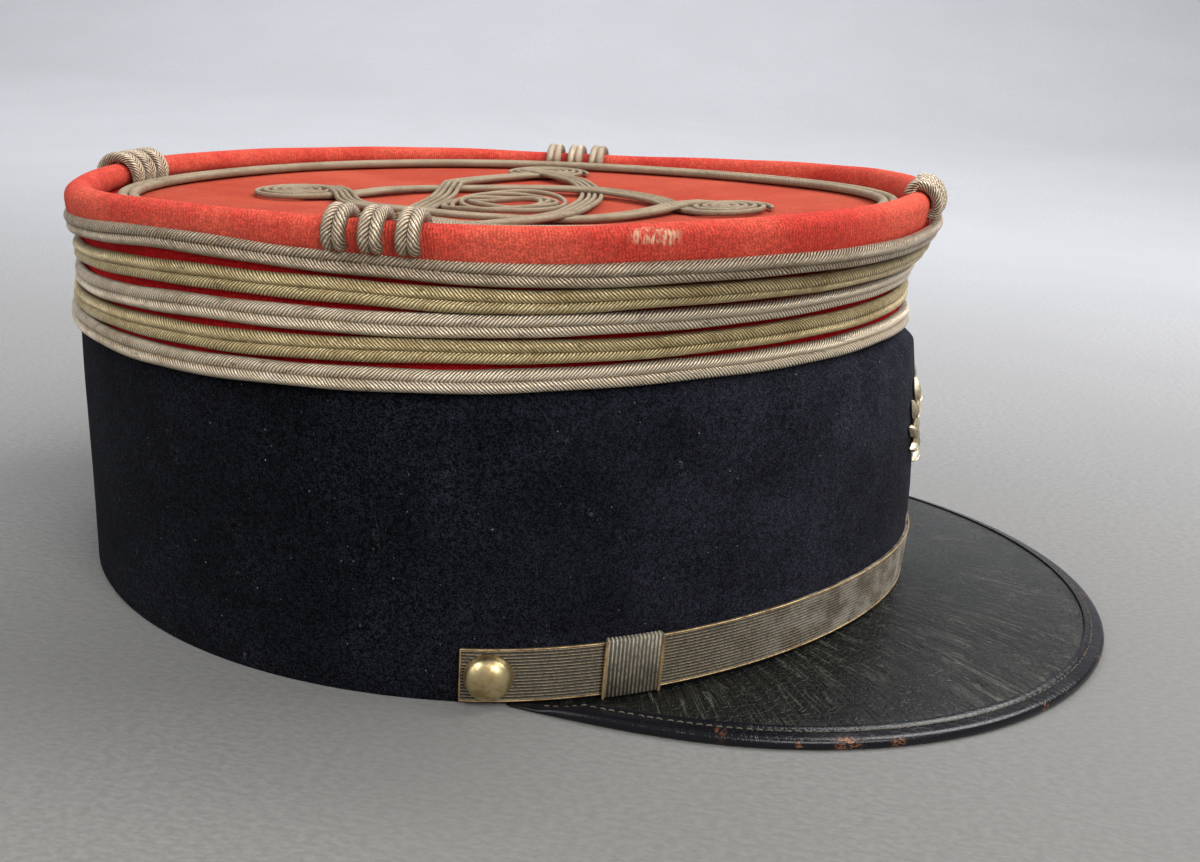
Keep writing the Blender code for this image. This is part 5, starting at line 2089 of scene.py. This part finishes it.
@dataclass
class FrontBadge:
    """A laurel spray of gilt wire on the front of the headband."""

    shape: CapShape
    half_width: float = 14.0 * MM
    half_height: float = 12.0 * MM
    middle: float = 47.5 * MM
    stem: float = 0.9 * MM
    leaf_length: float = 5.6 * MM
    leaf_width: float = 2.6 * MM
    leaf_height: float = 1.5 * MM
    pairs: int = 5
    gap: float = 0.3 * MM
    leaf_profile: tuple[tuple[float, float], ...] = (
        (-1.0, 0.15), (-0.62, 0.8), (-0.2, 1.0), (0.0, 0.72), (0.2, 1.0), (0.62, 0.8), (1.0, 0.15),
        (0.0, 0.0))

    def spot(self, across: float, up: float, out: float) -> Vector:
        """Return a place of the badge on the front's curve."""
        curve = self.shape.half_width ** 2 / self.shape.half_length * 1.05
        return self.shape.band(math.degrees(across / curve), self.middle + up, out)

    def branch(self, hand: float, share: float) -> tuple[float, float]:
        """Return the place of a branch from its foot to its tip."""
        turn = math.radians(-90.0 + 128.0 * share)
        return hand * self.half_width * 0.84 * math.cos(turn), self.half_height * 0.74 * math.sin(turn)

    def add_leaf(self, skin: Skin, hand: float, share: float, spread: float) -> None:
        """Add one pointed leaf with a sunk middle rib.

        Args:
            skin: Takes the leaf.
            hand: -1 for the left branch and 1 for the right.
            share: Share of the way along the branch.
            spread: Angle to the branch in radians.
        """
        ahead = [b - a for a, b in zip(self.branch(hand, share - 0.05), self.branch(hand, share + 0.05))]
        lean = math.atan2(ahead[1], ahead[0]) + spread
        across, up = self.branch(hand, share)
        rows = []
        for i in range(11):
            run = i / 10
            wide = self.leaf_width / 2 * math.sin(math.pi * min(run * 0.92 + 0.06, 1.0)) ** 0.8 + 0.02 * MM
            row = []
            for side, high in self.leaf_profile:
                forward = run * self.leaf_length
                sideways = side * wide
                a = across + math.cos(lean) * forward - math.sin(lean) * sideways
                b = up + math.sin(lean) * forward + math.cos(lean) * sideways
                height = self.leaf_height * high * math.sin(math.pi * min(run * 0.85 + 0.12, 1.0)) ** 0.5
                row.append(self.spot(a, b, self.gap + height))
            rows.append(row)
        skin.loft(rows)

    def make(self) -> None:
        """Build and seat the badge."""
        skin = Skin()
        for hand in (-1.0, 1.0):
            for pair in range(self.pairs):
                share = (pair + 0.75) / (self.pairs + 0.1)
                for spread in (-0.62, 0.62):
                    self.add_leaf(skin, hand, share, spread)
            path = [self.spot(*self.branch(hand, i / 20), self.stem) for i in range(21)]
            skin.tube(path, self.stem * 0.7, lambda _: Vector((1.0, 0.0, 0.0)), sides=10, taper=0.4)
        seat_piece(skin.build("badge_spray", BADGE_GILT.material()), "gilt", "front_badge")


@dataclass
class Studio:
    """Floor, light and camera."""

    focal_pixels: float = 1252.46
    image_width: float = 1200.0
    sensor: float = 36.0
    camera_place: tuple[float, float, float] = (72.978 * MM, -298.082 * MM, 123.786 * MM)
    yaw: float = -0.16487
    pitch: float = -0.29162
    roll: float = 0.06584

    def make_camera(self) -> None:
        """Place the camera where the photograph was taken from."""
        ahead = Vector((math.sin(self.yaw) * math.cos(self.pitch), math.cos(self.yaw) * math.cos(self.pitch),
                        math.sin(self.pitch)))
        right = ahead.cross(Vector((0.0, 0.0, 1.0))).normalized()
        up = right.cross(ahead)
        tilted_right = right * math.cos(self.roll) + up * math.sin(self.roll)
        tilted_up = up * math.cos(self.roll) - right * math.sin(self.roll)
        lens = bpy.data.cameras.new("camera")
        lens.sensor_fit = "HORIZONTAL"
        lens.sensor_width = self.sensor
        lens.lens = self.focal_pixels / self.image_width * self.sensor
        lens.clip_start = 0.01
        camera = bpy.data.objects.new("camera", lens)
        place = Vector(self.camera_place) + Vector((Placement.shift, 0.0, 0.0))
        turned = Matrix((tilted_right, tilted_up, -ahead)).transposed().to_4x4()
        camera.matrix_world = Matrix.Translation(place) @ turned
        bpy.context.scene.collection.objects.link(camera)
        bpy.context.scene.camera = camera

    def make_floor(self) -> None:
        """Lay the floor and curve it up far behind the cap."""
        rows = []
        for y, z in ((-2.5, 0.0), (0.9, 0.0), (1.5, 0.05), (2.0, 0.25), (2.4, 0.7), (2.6, 1.4), (2.65, 2.6)):
            rows.append([Vector((x, y, z)) for x in (-4.0, -1.0, 1.0, 4.0)])
        skin = Skin()
        skin.loft(rows, ringed=False, capped=False)
        floor = skin.build("floor", PAPER.material())
        floor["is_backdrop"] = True

    @staticmethod
    def add_lamp(name: str, place: Vector, target: Vector, size: float, power: float, tint: Colour) -> None:
        """Add one soft lamp that faces a target.

        Args:
            name: The lamp's name.
            place: Where it stands.
            target: Where it points.
            size: Side of its square in metres.
            power: Power in watts.
            tint: Its colour.
        """
        lamp = bpy.data.lights.new(name, "AREA")
        lamp.size = size
        lamp.energy = power
        lamp.color = tint
        holder = bpy.data.objects.new(name, lamp)
        holder.location = place
        holder.rotation_euler = (target - place).to_track_quat("-Z", "Y").to_euler()
        bpy.context.scene.collection.objects.link(holder)

    def make_light(self) -> None:
        """Set the soft lamps and the even grey around."""
        target = Vector((0.0, 0.0, 0.05))
        self.add_lamp("window_light", Vector((0.75, 0.35, 1.10)), target, 0.7, 16.0, (1.0, 0.99, 0.97))
        self.add_lamp("room_light", Vector((0.80, -0.95, 0.95)), target, 0.8, 16.0, (1.0, 0.985, 0.96))
        self.add_lamp("left_fill", Vector((-0.95, -0.75, 0.80)), target, 1.0, 10.0, (0.98, 0.99, 1.0))
        self.add_lamp("backdrop_light", Vector((-0.5, 1.0, 1.8)), Vector((-0.5, 2.4, 0.3)), 2.0, 52.0,
                      (0.97, 0.98, 1.0))
        world = bpy.data.worlds.new("studio")
        world.use_nodes = True
        world.node_tree.nodes["Background"].inputs["Color"].default_value = (0.62, 0.65, 0.70, 1.0)
        world.node_tree.nodes["Background"].inputs["Strength"].default_value = 0.43
        bpy.context.scene.world = world
        bpy.context.scene.view_settings.view_transform = "Standard"

    def make(self) -> None:
        """Build the studio."""
        self.make_camera()
        self.make_floor()
        self.make_light()


def main() -> None:
    """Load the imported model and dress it."""
    logging.basicConfig(level=logging.INFO, format="%(name)s: %(message)s")
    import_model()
    solid_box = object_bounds()
    Placement.read(solid_box[1])
    shape = CapShape()
    Studio().make()
    strap = ChinStrap(shape)
    makers = (Headband(shape), Crown(shape), BraidRows(shape), RimBraids(shape), TopBraid(shape), Peak(shape),
              strap, SideButton(strap, Side.LEFT), SideButton(strap, Side.RIGHT), FrontBadge(shape))
    for maker in makers:
        maker.make()


if __name__ == "__main__":
    main()
